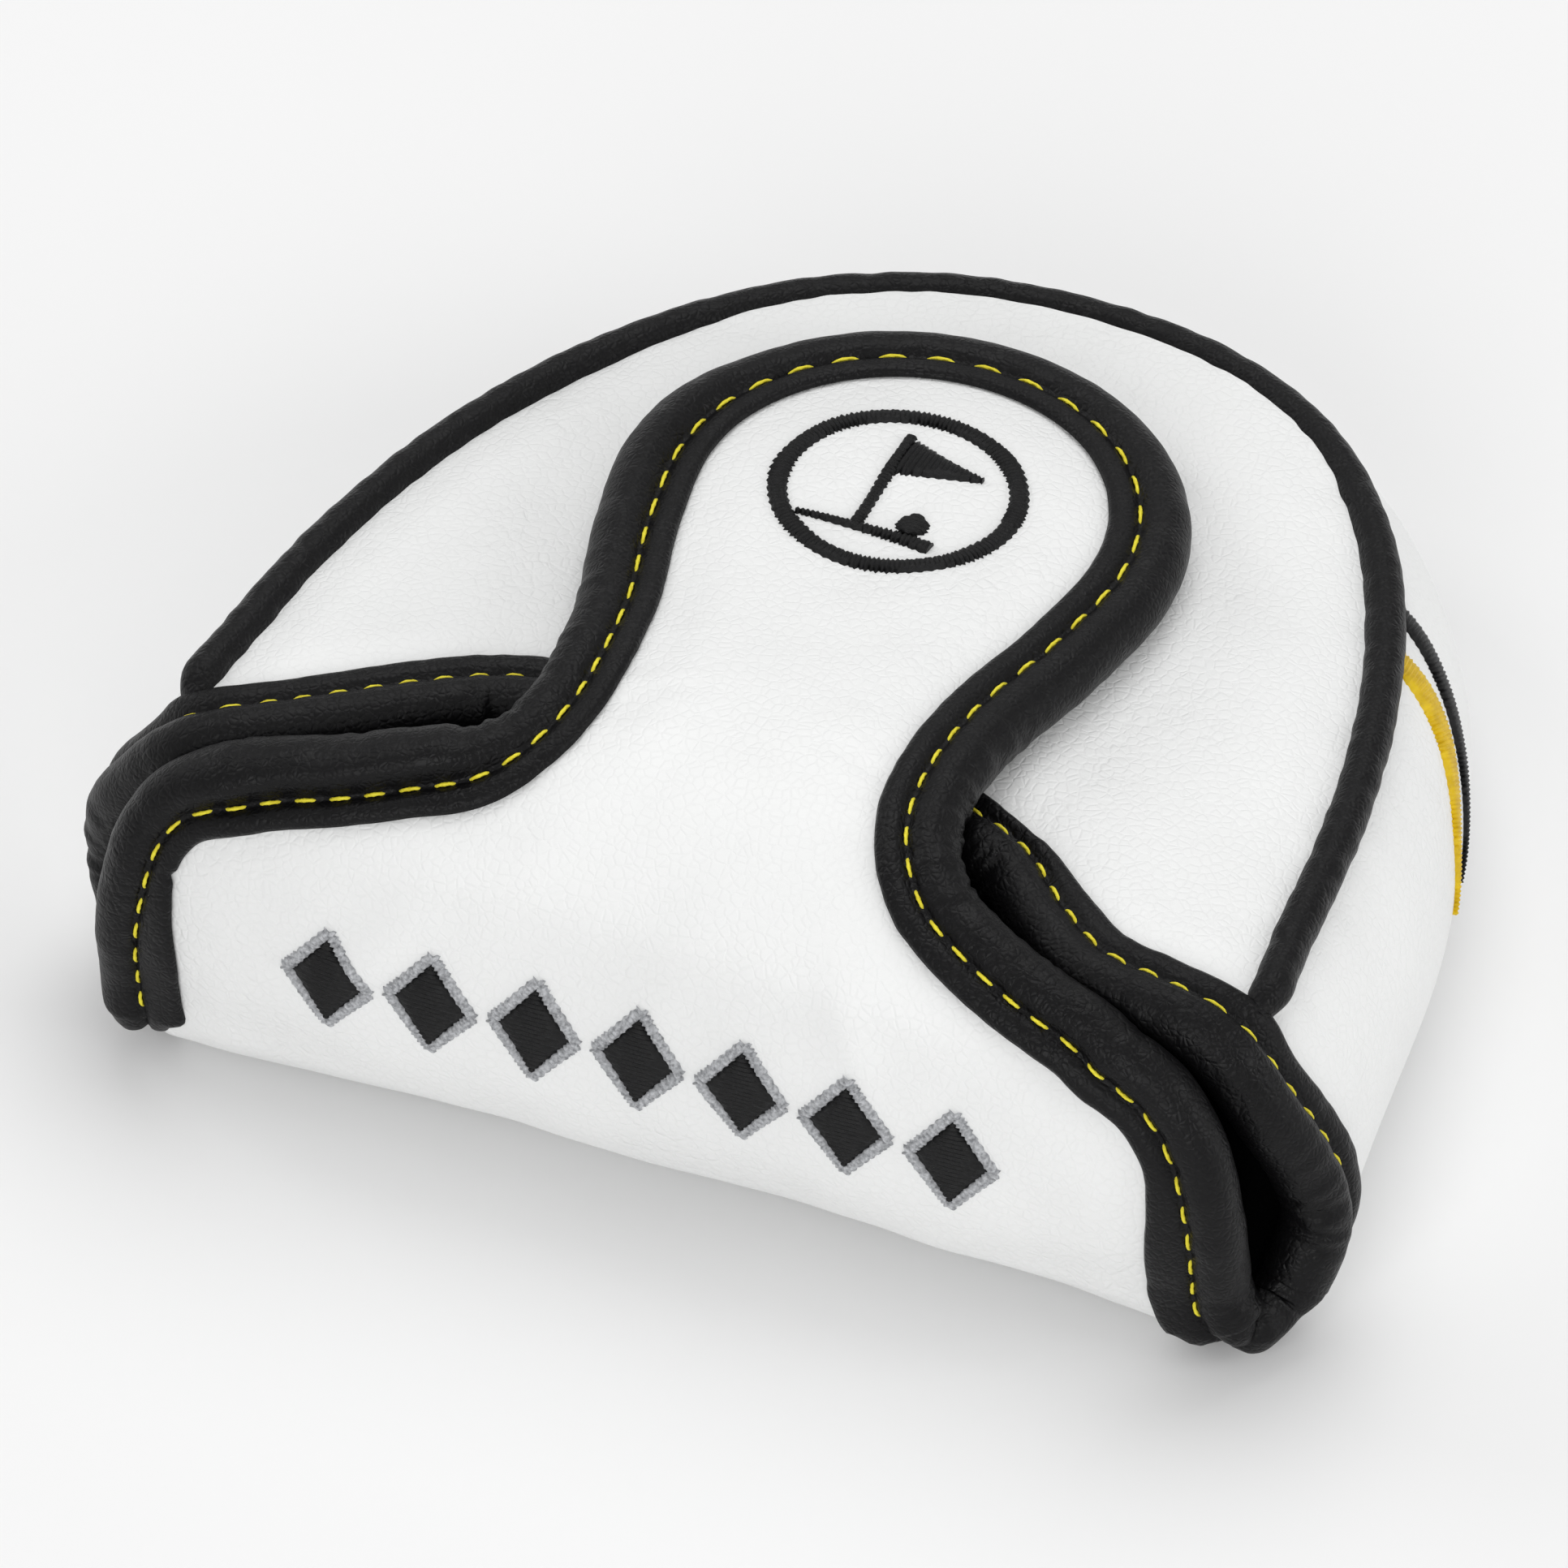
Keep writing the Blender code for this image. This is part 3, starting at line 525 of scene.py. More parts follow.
def mouth_side(outward, toe):
    """One side of the mouth's raw edge, with its normals, pushed outward by height."""
    heights = np.array(MOUTH_SIDE_SHARES)
    points, normals = gusset_with_normals(gusset_front(heights) + 1e-4, heights)
    points[0, 1] -= MOUTH_CORNER_ADVANCE
    points[:, 0] += outward(heights)
    points[:, 1] += MOUTH_SETBACK * low_on_mouth(heights)
    side = np.column_stack([points - STACK / 2 * normals, normals])
    end = [(*point, *MOUTH_TOE_NORMAL) for point in toe]
    return np.concatenate([side, end])


def mouth_path(count=521):
    """Middle of the mouth's raw edge from the left foot over the top to the right foot."""
    shares = np.array(MOUTH_TOP_SHARES)
    top_x = np.concatenate([-shares[:0:-1], shares]) * HALF_WIDTH
    top_y = mouth_edge(top_x)
    top_y[[0, -1]] -= MOUTH_CORNER_ADVANCE
    top, top_normals = with_normals(top_surface, top_x, top_y)
    middle = np.column_stack([top - STACK / 2 * top_normals, top_normals])
    right = mouth_side(bulge_right, MOUTH_TOE_RIGHT)
    left = mouth_side(bulge_left, MOUTH_TOE_LEFT)[::-1] * (-1, 1, 1, -1, 1, 1)
    whole = smooth_path(np.concatenate([left, middle, right]), count)
    return whole[:, :3], *frames_along(whole[:, :3], whole[:, 3:])


# How far the padding stands proud of the solids' outer faces

def soft_fold(x, along, start, end, width, height):
    """A low ridge from start to end on the flap, fading out at both."""
    run = np.subtract(end, start)
    length = np.hypot(*run)
    onward = ((x - start[0]) * run[0] + (along - start[1]) * run[1]) / length**2
    aside = ((x - start[0]) * run[1] - (along - start[1]) * run[0]) / length
    return height * np.sin(math.pi * np.clip(onward, 0, 1)) ** 2 * bell(aside, width)


def flap_lift(x, along):
    margin = margin_to(x, along, FLAP_OUTLINE)
    puff = FLAP_PUFF * ramp(margin, 2, 8)
    slack = 0.22 * waves(x, along, 34, 3) + 0.07 * waves(x, along, 13, 4)
    slack = ramp(margin, 4, 12) * (slack + sum(soft_fold(x, along, *fold) for fold in SOFT_FOLDS))
    pinch = 0.11 * waves(0.30 * x, along + 0.25 * np.abs(x), 3.6, 5)
    pinch = pinch * bell(along - NECK_ALONG + 3, 12) * ramp(margin, 1, 3) * bell(margin, 9)
    return (puff + slack + pinch) * ramp(along, 0, 6) - FOLD_TUCK * (1 - ramp(along, 0, 7))


def bottom_lift(x, along):
    return -FOLD_TUCK * (1 - ramp(along, -FOLD_LENGTH, 8))


def under_tongue(x, y):
    """1 where the tongue covers the top panel, fading to 0 at its edge."""
    aside = ramp(TONGUE_HALF_WIDTH + 1 - np.abs(x), 0, 6)
    return aside * ramp(TONGUE_WIDEST_Y + TONGUE_END_LENGTH + 1 - y, 0, 6)


def top_lift(x, y):
    seam = margin_to(x, y, PLAN)
    mouth = margin_to(x, y, MOUTH_LINE)
    puff = TOP_PUFF * ramp(seam, 1.5, 7) * ramp(mouth, 2, 6)
    pucker = 0.10 * np.exp(-seam / 3.5) * waves(x, y, 7, 11)
    slack = 0.16 * waves(x, y, 30, 12) * ramp(seam, 3, 10) * ramp(mouth, 3, 8)
    swell = REAR_SWELL * ramp(y, 72, 24) * bell(seam, 7)
    return (puff + slack) * (1 - under_tongue(x, y)) + pucker + swell


def gusset_lift(along, up):
    height = up / SEAM_FRONT_Z
    below_seam, above_foot = np.maximum(SEAM_FRONT_Z - up, 0), np.maximum(up, 0)
    pucker = 0.14 * waves(along, 0.3 * up, 8, 21) * np.exp(-below_seam / 4)
    foot = 0.16 * waves(along, 0.3 * up, 10, 22) * np.exp(-above_foot / 5)
    slack = 0.80 * waves(along, up, 32, 23) * np.clip(height * (1 - height), 0, 1)
    return pucker + foot * ramp(above_foot, 0, 2) + slack


# Materials

def feed(tree, made, values):
    """Sets a shader node's inputs to plain values, or links them to the sockets that feed them."""
    for key, value in values.items():
        if isinstance(value, bpy.types.NodeSocket):
            tree.links.new(value, made.inputs[key])
        else:
            made.inputs[key].default_value = value


def node(tree, kind, values, **settings):
    made = tree.nodes.new("ShaderNode" + kind)
    for key, value in settings.items():
        setattr(made, key, value)
    feed(tree, made, values)
    return made


def new_material(name):
    """A material, its nodes, its shader and the places on the object that textures read."""
    made = bpy.data.materials.new(name)
    made.use_nodes = True
    tree = made.node_tree
    return made, tree, tree.nodes["Principled BSDF"], node(tree, "TexCoord", {}).outputs["Object"]


def noise(tree, place, scale, detail=3.0, distortion=0.0):
    values = {"Vector": place, "Scale": scale, "Detail": detail, "Distortion": distortion}
    return node(tree, "TexNoise", values).outputs["Fac"]


def cells(tree, place, scale):
    """Distance to the lines between cells."""
    values = {"Vector": place, "Scale": scale}
    return node(tree, "TexVoronoi", values, feature="DISTANCE_TO_EDGE").outputs["Distance"]


def ranged(tree, value, low, high, to_low=0.0, to_high=1.0):
    values = {"Value": value, "From Min": low, "From Max": high, "To Min": to_low, "To Max": to_high}
    return node(tree, "MapRange", values).outputs["Result"]


def maths(tree, kind, first, second):
    return node(tree, "Math", {0: first, 1: second}, operation=kind).outputs[0]


def plus(tree, first, second, share):
    """The first value, plus a share of the second."""
    return maths(tree, "ADD", first, maths(tree, "MULTIPLY", second, share))


def mixed(tree, share, first, second):
    values = {0: share, 6: (*first, 1.0), 7: (*second, 1.0)}
    return node(tree, "Mix", values, data_type="RGBA").outputs[2]


def relief(tree, height, distance):
    values = {"Height": height, "Distance": distance, "Strength": 1.0}
    return node(tree, "Bump", values).outputs["Normal"]


def leather(name, light, dark, grain, line, pit_shade, depth, roughness, specular):
    """Grained leather: cells parted by lines with painted shade in them, finer pores, and slow changes
    of tone and gloss.
    """
    made, tree, shader, place = new_material(name)
    warp = node(tree, "TexNoise", {"Vector": place, "Scale": 0.45 / grain, "Detail": 1.0})
    bent = node(tree, "VectorMath", {0: warp.outputs["Color"], "Scale": 0.7 * grain}, operation="SCALE")
    where = node(tree, "VectorMath", {0: place, 1: bent.outputs[0]}, operation="ADD").outputs[0]
    dome = ranged(tree, cells(tree, where, 1 / grain), 0.0, line)
    fine = noise(tree, place, 3 / grain, 2.0)
    lines = noise(tree, place, 0.16 / grain, 4.0, 0.8)
    tone = noise(tree, place, 55.0, 4.0)
    web = ranged(tree, cells(tree, where, 0.36 / grain), 0.0, 0.13)
    groove = maths(tree, "MULTIPLY", web, ranged(tree, tone, 0.47, 0.62))
    height = plus(tree, plus(tree, plus(tree, dome, fine, 0.5), lines, 1.6), groove, 1.2)
    # Painted shade: the lines between the grain's cells are darkened as if shadowed, on top of random
    # changes of tone
    pit = maths(tree, "SUBTRACT", 1.0, dome)
    share = plus(tree, ranged(tree, tone, 0.35, 0.7, 0.0, 0.6), pit, pit_shade)
    feed(tree, shader, {
        "Base Color": mixed(tree, share, light, dark),
        "Roughness": ranged(tree, lines, 0.3, 0.7, roughness - 0.06, roughness + 0.08),
        "Normal": relief(tree, height, depth),
        "Specular IOR Level": specular,
    })
    return made


def thread(name, light, dark, roughness, size, specular=0.25):
    """Shiny twisted thread with small changes of tone."""
    made, tree, shader, place = new_material(name)
    tone = noise(tree, place, 1 / size)
    fibre = noise(tree, place, 5 / size, 2.0)
    feed(tree, shader, {
        "Base Color": mixed(tree, ranged(tree, tone, 0.3, 0.7), light, dark),
        "Normal": relief(tree, fibre, 0.06 * MM),
        "Roughness": roughness,
        "Specular IOR Level": specular,
    })
    return made


def brushed(name, light, dark, size, depth, sheen):
    """Matte pile: short fibres in patches that catch the light differently."""
    made, tree, shader, place = new_material(name)
    fibres = noise(tree, place, 1 / size)
    nap = noise(tree, place, 90.0, 4.0, 1.0)
    share = plus(tree, maths(tree, "MULTIPLY", fibres, 0.6), nap, 0.5)
    feed(tree, shader, {
        "Base Color": mixed(tree, ranged(tree, share, 0.3, 0.8), dark, light),
        "Normal": relief(tree, fibres, depth),
        "Roughness": 0.95,
        "Sheen Weight": sheen,
        "Specular IOR Level": 0.15,
    })
    return made


WHITE = leather(
    "white_leather", (0.845, 0.85, 0.845), (0.79, 0.795, 0.79),
    grain=1.1 * MM, line=0.17, pit_shade=0.06, depth=0.037 * MM, roughness=0.46, specular=0.35,
)
BLACK = leather(
    "black_leather", (0.0046, 0.0044, 0.0049), (0.0027, 0.0026, 0.0029),
    grain=0.75 * MM, line=0.28, pit_shade=0.35, depth=0.045 * MM, roughness=0.41, specular=0.175,
)
YELLOW_THREAD = thread("yellow_thread", (0.92, 0.82, 0.055), (0.72, 0.60, 0.028), 0.5, 0.9 * MM)
GOLD_SATIN = thread("gold_satin", (0.78, 0.54, 0.012), (0.60, 0.39, 0.009), 0.45, 1.4 * MM)
BLACK_SATIN = thread(
    "black_satin", (0.007, 0.007, 0.0075), (0.002, 0.002, 0.0022), 0.40, 0.5 * MM, specular=0.24
)
SILVER_SATIN = thread("silver_satin", (0.58, 0.59, 0.61), (0.21, 0.215, 0.225), 0.38, 0.4 * MM)
CLOTH = brushed("lining", (0.012, 0.012, 0.013), (0.004, 0.004, 0.0045), 0.45 * MM, 0.15 * MM, 0.08)
HOOKS = brushed("hook_tape", (0.030, 0.030, 0.032), (0.008, 0.008, 0.009), 0.8 * MM, 0.5 * MM, 0.1)
LOOPS = brushed("loop_tape", (0.026, 0.026, 0.028), (0.009, 0.009, 0.010), 0.5 * MM, 0.3 * MM, 0.4)


# Mesh makers

def linked(name, data):
    obj = bpy.data.objects.new(name, data)
    bpy.context.scene.collection.objects.link(obj)
    return obj


def mesh_object(name, points, faces, look, sharp=50):
    data = bpy.data.meshes.new(name)
    data.from_pydata(((points + TO_WORLD) * MM).tolist(), [], faces)
    work = bmesh.new()
    work.from_mesh(data)
    bmesh.ops.recalc_face_normals(work, faces=work.faces)
    work.to_mesh(data)
    work.free()
    data.materials.append(look)
    data.shade_smooth()
    data.set_sharp_from_angle(angle=math.radians(sharp))
    return linked(name, data)


def grid_faces(rows, columns, ring=False):
    """Quads of a grid of points. A ring's last column joins its first."""
    faces = []
    for row in range(rows - 1):
        for column in range(columns if ring else columns - 1):
            a, b = row * columns + column, row * columns + (column + 1) % columns
            faces.append((a, b, b + columns, a + columns))
    return faces


def closed_sheet(outer, inner, faces):
    """Points and faces of a closed sheet between two layers of points that share their faces."""
    far = len(outer)
    edges = dict.fromkeys(edge for face in faces for edge in zip(face, face[1:] + face[:1]))
    sides = [(b, a, a + far, b + far) for a, b in edges if (b, a) not in edges]
    back = [tuple(i + far for i in face[::-1]) for face in faces]
    return np.concatenate([outer, inner]), faces + sides + back


def grid_sheet(outer, inner):
    return closed_sheet(outer.reshape(-1, 3), inner.reshape(-1, 3), grid_faces(*outer.shape[:2]))


def spokes(turn, first, second):
    """Directions round each station, from the first towards the second."""
    return np.cos(turn)[:, None] * first[:, None] + np.sin(turn)[:, None] * second[:, None]


def tube(rings):
    """Points and faces of a closed tube through rings of points, with flat ends."""
    count, sides = rings.shape[:2]
    last = (count - 1) * sides
    ends = [tuple(range(sides))[::-1], tuple(range(last, last + sides))]
    return rings.reshape(-1, 3), grid_faces(count, sides, ring=True) + ends


def merged(name, shells, look):
    """One piece from several closed shells, each given as its points and faces."""
    points, faces, count = [], [], 0
    for its_points, its_faces in shells:
        points.append(its_points)
        faces += [tuple(count + i for i in face) for face in its_faces]
        count += len(its_points)
    return mesh_object(name, np.concatenate(points), faces, look)


def inside(places, outline):
    """Which places lie inside a closed outline."""
    x, y = places.T
    odd = np.zeros(len(places), bool)
    for (x0, y0), (x1, y1) in zip(outline, np.roll(outline, -1, axis=0)):
        if y0 != y1:
            crosses = (y0 > y) != (y1 > y)
            odd ^= crosses & (x < x0 + (y - y0) / (y1 - y0) * (x1 - x0))
    return odd


def net(outline, spacing):
    """Triangles over the inside of an outline: their corners, and the corners' numbers."""
    low, high = outline.min(0), outline.max(0)
    columns = np.arange(low[0], high[0] + spacing, spacing)
    fill = np.concatenate([
        coords(columns + spacing / 2 * (row % 2), np.full(len(columns), y))
        for row, y in enumerate(np.arange(low[1], high[1], spacing * 0.87))
    ])
    fill = fill[inside(fill, outline)]
    closed = np.concatenate([outline, outline[:1]])
    fill = fill[margin_to(*fill.T, closed) > spacing * 0.45]
    flat = [Vector(place) for place in np.concatenate([outline, fill]).tolist()]
    made = delaunay_2d_cdt(flat, [], [list(range(len(outline)))], 1, 1e-4)
    return np.array([tuple(place) for place in made[0]]), [tuple(face) for face in made[2]]


def panel(name, surface, outline, spacing, depth, thickness, look, lift=None, outward=1):
    """A closed padded sheet over the inside of an outline drawn on a surface."""
    flat, faces = net(outline, spacing)
    points, normals = with_normals(surface, *flat.T)
    normals = normals * outward
    proud = lift(*flat.T) if lift else np.zeros(len(flat))
    outer = points + normals * (proud - depth)[:, None]
    inner = points - normals * (depth + thickness)
    return mesh_object(name, *closed_sheet(outer, inner, faces), look)


def roll_section(sides=50):
    """Section of a roll, (toward the panel, outward), and how far each point goes with the lip."""
    slot = STACK / 2 + 0.03
    lip = [
        (-0.15, slot, 1.0), (0.12, slot + 0.40, 1.0), (-0.22, slot + 0.86, 1.0),
        (0.1, slot + 1.12, 0.5), (0.50, slot + 0.90, 0.0),
        (STITCH_TOWARD, slot + 0.22, 0.0), (-1.0, slot + 0.92, 0.0),
    ]
    turn = np.radians(np.arange(100, 181, 20))
    arc = [(-ROLL_CENTRE + ROLL_RADIUS * math.cos(a), ROLL_RADIUS * math.sin(a), 0.0) for a in turn]
    upper = np.array([*lip, *arc])
    toward, out, with_lip = np.concatenate([upper, upper[-2::-1] * (1, -1, 1)]).T
    curve = smooth_path(coords(toward + LIP_REACH * with_lip, out, 0 * out, with_lip), sides)
    inner = [(-0.12, -slot), (-0.12, slot)]
    return np.concatenate([curve[:, :2], inner]), np.concatenate([curve[:, 3], [0, 0]])


def bare_section(count):
    """Section of a binding without lips, as many points round the roll."""
    turn = np.linspace(math.radians(20), math.radians(340), count)
    return coords(ROLL_RADIUS * np.cos(turn) - ROLL_CENTRE, ROLL_RADIUS * np.sin(turn))


def rolled(name, path, pitch, lips, bare, girth, raised, wrinkle_seed):
    """A padded binding along an edge, crumpled where the edge bends inward, with rounded ends.

    Along the edge, pitch is the stitches' phase, lips the reach over the panel, bare is 1 where it
    has no lips, girth scales the roll, and raised is how far the lip stands off the panel.
    """
    points, normal, inward = path
    section, with_lip = roll_section()
    along = path_lengths(points)
    plain = bare[:, None, None]
    reaching = with_lip * (lips - LIP_REACH)[:, None]
    lifted = with_lip * raised[:, None] * np.sign(section[:, 1])
    section = section + coords(reaching, lifted)
    section = (1 - plain) * section + plain * bare_section(section.shape[1])
    tangent = np.gradient(points, along, axis=0)
    bend = (np.gradient(tangent, along, axis=0) * inward).sum(1)
    squeezed = np.convolve(np.clip(-bend * 24, 0, 1), np.ones(9) / 9, "same")[:, None]
    toward, out = section[..., 0], section[..., 1]
    core = coords(toward + ROLL_CENTRE, out)
    reach = np.linalg.norm(core, axis=-1, keepdims=True)
    around = np.arctan2(core[..., 1], core[..., 0])
    on_roll = ramp(-toward, 0.25, 0.8)
    on_face = ramp(np.abs(out), STACK / 2 + 0.1, 0.3)
    stations = along[:, None]
    folds = 0.5 * waves(stations, 0.9 * around, 2.6, wrinkle_seed, 6)
    folds = folds + 0.5 * waves(stations, 0.5 * around, 4.2, wrinkle_seed + 1, 6)
    drift = waves(stations, 4 * around, 26, wrinkle_seed + 2, 6)
    crushed = squeezed * ramp(-toward, 1.5, 4)
    swell = on_roll * (0.06 * drift + (0.04 + 0.26 * crushed) * folds)
    swell = swell + on_face * (1 - on_roll) * (0.03 + 0.05 * squeezed) * folds
    pull = bell(toward - STITCH_TOWARD, 0.9) * on_face
    swell = swell - 0.11 * pull * np.cos(math.tau * pitch[:, None]) * (1 - bare[:, None])
    core = core * (1 + swell[..., None] / np.maximum(reach, 0.1))
    core = core * (1 + (girth[:, None] - 1) * ramp(-toward, 0.6, 2))[..., None]
    past_end = np.clip(1 - np.minimum(along, along[-1] - along) / ROLL_END_LENGTH, 0, 1)
    core = core * np.maximum(np.sqrt(1 - past_end**2), 0.06)[:, None, None]
    rings = points[:, None] + inward[:, None] * (core[..., :1] - ROLL_CENTRE)
    rings = rings + normal[:, None] * core[..., 1:]
    return mesh_object(name, *tube(rings), BLACK, sharp=75)


def stitch_count(along, pitch):
    """Stitches passed so far at each station, where pitch gives their local spacing."""
    rate = 1 / pitch
    return np.concatenate([[0], np.cumsum(np.diff(along) * (rate[1:] + rate[:-1]) / 2)])


def stitch(path, count, middle, side):
    """One visible stitch: a short thread that dives into the seam at both ends."""
    shares = np.linspace(-1, 1, 11)
    at = middle + shares * STITCH_SHARE / 2
    points, normal, into = (looked_up(at, count, table) for table in path)
    up = side * normal
    rise = 0.34 - 0.60 * np.abs(shares) ** 3
    centre = points + into * STITCH_TOWARD + up * (STACK / 2 + 0.22 + rise)[:, None]
    turn = np.linspace(0, math.tau, 8, endpoint=False)
    radius = THREAD_RADIUS * (1 - 0.35 * shares**2)[:, None, None]
    twist = 1 + 0.12 * np.cos(2 * turn + 9 * shares[:, None])[..., None]
    return tube(centre[:, None] + radius * twist * spokes(turn, 1.15 * into, up))


def stitches(name, path, count, ends):
    """Stitches along both sides of a binding, except that many at each end."""
    middles = np.arange(ends + 0.5, count[-1] - ends)
    shells = [stitch(path, count, middle, side) for side in (1, -1) for middle in middles]
    return merged(name, shells, YELLOW_THREAD)


def satin_stroke(surface, lift, stroke, height, pitch=0.25, depth=0.35):
    """A raised stroke of satin stitch. Its columns are the path and the half width."""
    stroke = np.asarray(stroke, float)
    count = max(int(path_lengths(stroke[:, :2])[-1] / pitch), 6)
    line = resampled(np.insert(stroke, 2, 0.0, axis=1), count)
    tangent = unit(np.gradient(line[:, :2], axis=0))
    side = coords(-tangent[:, 1], tangent[:, 0])
    order = np.arange(count)
    ragged = np.sin(2.4 * order) * np.sin(0.9 * order) + 0.8 * (order % 2) - 0.4
    half = line[:, 3] + 0.20 * ragged * ramp(line[:, 3], 0, 0.5)
    across = np.linspace(-1, 1, 9)
    spots = line[:, None, :2] + side[:, None] * (half[:, None] * across)[..., None]
    spots = spots[..., 0], spots[..., 1]
    points, normals = with_normals(surface, *spots)
    base = points + normals * lift(*spots)[..., None]
    crown = height * np.sqrt(np.maximum(1 - np.abs(across) ** 2.6, 0))
    ridge = 0.16 * (order % 2)[:, None] * (1 - across**4)
    return grid_sheet(base + normals * (crown + ridge)[..., None], base - normals * depth)


# Helpers that the pieces share: parenting to a body's empty, baking a placement, and hiding the solids
# that a piece stands for

def declared(obj, nodes):
    if nodes:
        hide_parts(*nodes)
    return obj


def riding(obj, body, slot, *nodes):
    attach(obj, body)
    return declared(obj, nodes)


def bending(obj, first, second, start, end, slot, *nodes):
    """The piece's placement is baked into its mesh, and the solids that it stands for are hidden."""
    start, end = (tuple((TO_WORLD + place) * MM) for place in (start, end))
    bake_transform(obj)
    return declared(obj, nodes)


def embroidered(name, body, surface, lift, strokes, height, look):
    shells = [satin_stroke(surface, lift, stroke, height) for stroke in strokes]
    riding(merged(name, shells, look), body, "white_leather")


def over_neck(obj, slot, *nodes):
    start, end = ((0.0, NECK_Y + behind, 0.0) for behind in NECK_BLEND)
    return bending(obj, "flap_front", "flap_tongue", start, end, slot, *nodes)


# Pieces on the pouch

def seam_outline(inset, front_y):
    """Right side, rear and left side of a panel that follows the seam's outline."""
    outline = plan_point(np.linspace(0, 1, 301), -inset)
    return outline[outline[:, 1] > front_y]


def top_outline(inset):
    return np.concatenate([mouth_line(HALF_WIDTH - inset), seam_outline(inset, MOUTH_SIDE_Y + 0.5)])


def make_top():
    face = panel("pouch_top", top_surface, top_outline(1.2), 1.1, 0.0, SHELL, WHITE, top_lift)
    riding(face, "pouch", "white_leather", "top_leather", "top_foam")
    cloth = panel("pouch_top_lining", top_surface, top_outline(STACK), 2.5, LINING_DEPTH, LINING, CLOTH)
    riding(cloth, "pouch", "lining", "top_lining")


def gusset_grid(columns, rows, high, depth, lift=None):
    """The side wall, drawn in at its front corners and following the mouth's bulges there."""
    u, v = np.meshgrid(np.linspace(0, 1, columns), np.linspace(0.0, high, rows))
    begin = gusset_front(v) + GUSSET_DRAWN_IN / PLAN_LENGTH * (1 - ramp(v, 0, 0.14))
    share = begin + u * (1 - 2 * begin)
    along = share * PLAN_LENGTH
    points, normals = gusset_with_normals(share, v)
    points[..., 0] += bulge_right(v) * bell(along, GUSSET_BULGE_FADE)
    points[..., 0] -= bulge_left(v) * bell(PLAN_LENGTH - along, GUSSET_BULGE_FADE)
    from_front = (np.minimum(share, 1 - share) - begin) * PLAN_LENGTH
    points[..., 2] += GUSSET_CORNER_LIFT * (1 - ramp(v, 0, 0.20)) * bell(from_front, 4.5)
    proud = lift(along, v * SEAM_FRONT_Z) if lift else np.zeros(u.shape)
    return points + normals * (proud - depth)[..., None]


def make_gusset():
    outer, inner = gusset_grid(300, 40, 1.045, 0.0, gusset_lift), gusset_grid(300, 40, 1.045, SHELL)
    face = mesh_object("pouch_gusset", *grid_sheet(outer, inner), WHITE)
    riding(face, "pouch", "white_leather", "gusset_leather", "gusset_foam")
    outer, inner = gusset_grid(130, 16, 1.0, LINING_DEPTH), gusset_grid(130, 16, 1.0, STACK)
    cloth = mesh_object("pouch_gusset_lining", *grid_sheet(outer, inner), CLOTH)
    riding(cloth, "pouch", "lining", "gusset_lining")


def fold_line(along):
    x = np.linspace(-TUCKED_HALF_WIDTH, TUCKED_HALF_WIDTH, 59)
    return coords(x, np.full(len(x), along))


def make_bottom():
    """The bottom's outline is (x, length behind the fold's bend), from the left end of the fold."""
    sides = np.linspace(-FOLD_LENGTH, 4.0, 9)[1:, None]
    spread = (WALL_HALF_WIDTH - TUCKED_HALF_WIDTH) * ramp(sides, -FOLD_LENGTH, 8)
    right = np.concatenate([TUCKED_HALF_WIDTH + spread, sides], axis=1)
    rear = seam_outline(3.0 - FOOT_SPREAD, LINED_FROM_Y)
    outline = np.concatenate([fold_line(-FOLD_LENGTH), right, rear, mirrored(right[::-1])])
    face = panel("pouch_bottom", bottom_surface, outline, 2.2, 0.0, SHELL, WHITE, bottom_lift, -1)
    riding(face, "pouch", "white_leather", "bottom_leather", "bottom_foam")


def make_piping():
    ends = (GUSSET_FRONT_Y - GUSSET_TOE_Y + 0.8) / PLAN_LENGTH
    share = np.linspace(ends, 1 - ends, PIPING_STATIONS)
    order = np.arange(PIPING_STATIONS)
    from_end = np.minimum(order, order[::-1]) / PIPING_STATIONS * PLAN_LENGTH
    tucked = ramp(1 - from_end / 4.5)
    rear = bell(share - 0.5, 0.17)
    side = (1 - rear) * ramp(from_end, 0, 14)
    seam = plan_point(share, PIPING_REAR_OUT * rear - PIPING_SIDE_IN * side - PIPING_END_IN * tucked)
    points = np.column_stack([seam, seam_height(seam[:, 1]) - PIPING_END_DROP * tucked])
    normal, inward = frames_along(points, np.tile((0.0, 0.0, 1.0), (len(points), 1)))
    along = path_lengths(points)[:, None]
    turn = np.linspace(0, math.tau, 18, endpoint=False)
    radius = PIPING_COVER_RADIUS + 0.05 * waves(along, 1.2 * turn, 3.2, 41)
    radius = radius + 0.05 * waves(along, 2 * turn, 17, 42)
    radius = radius * (1 - 0.26 * tucked[:, None])
    rings = points[:, None] + radius[..., None] * spokes(turn, normal, inward)
    obj = mesh_object("pouch_piping", *tube(rings), BLACK)
    riding(obj, "pouch", "black_leather", "piping_cover", "piping_cord")


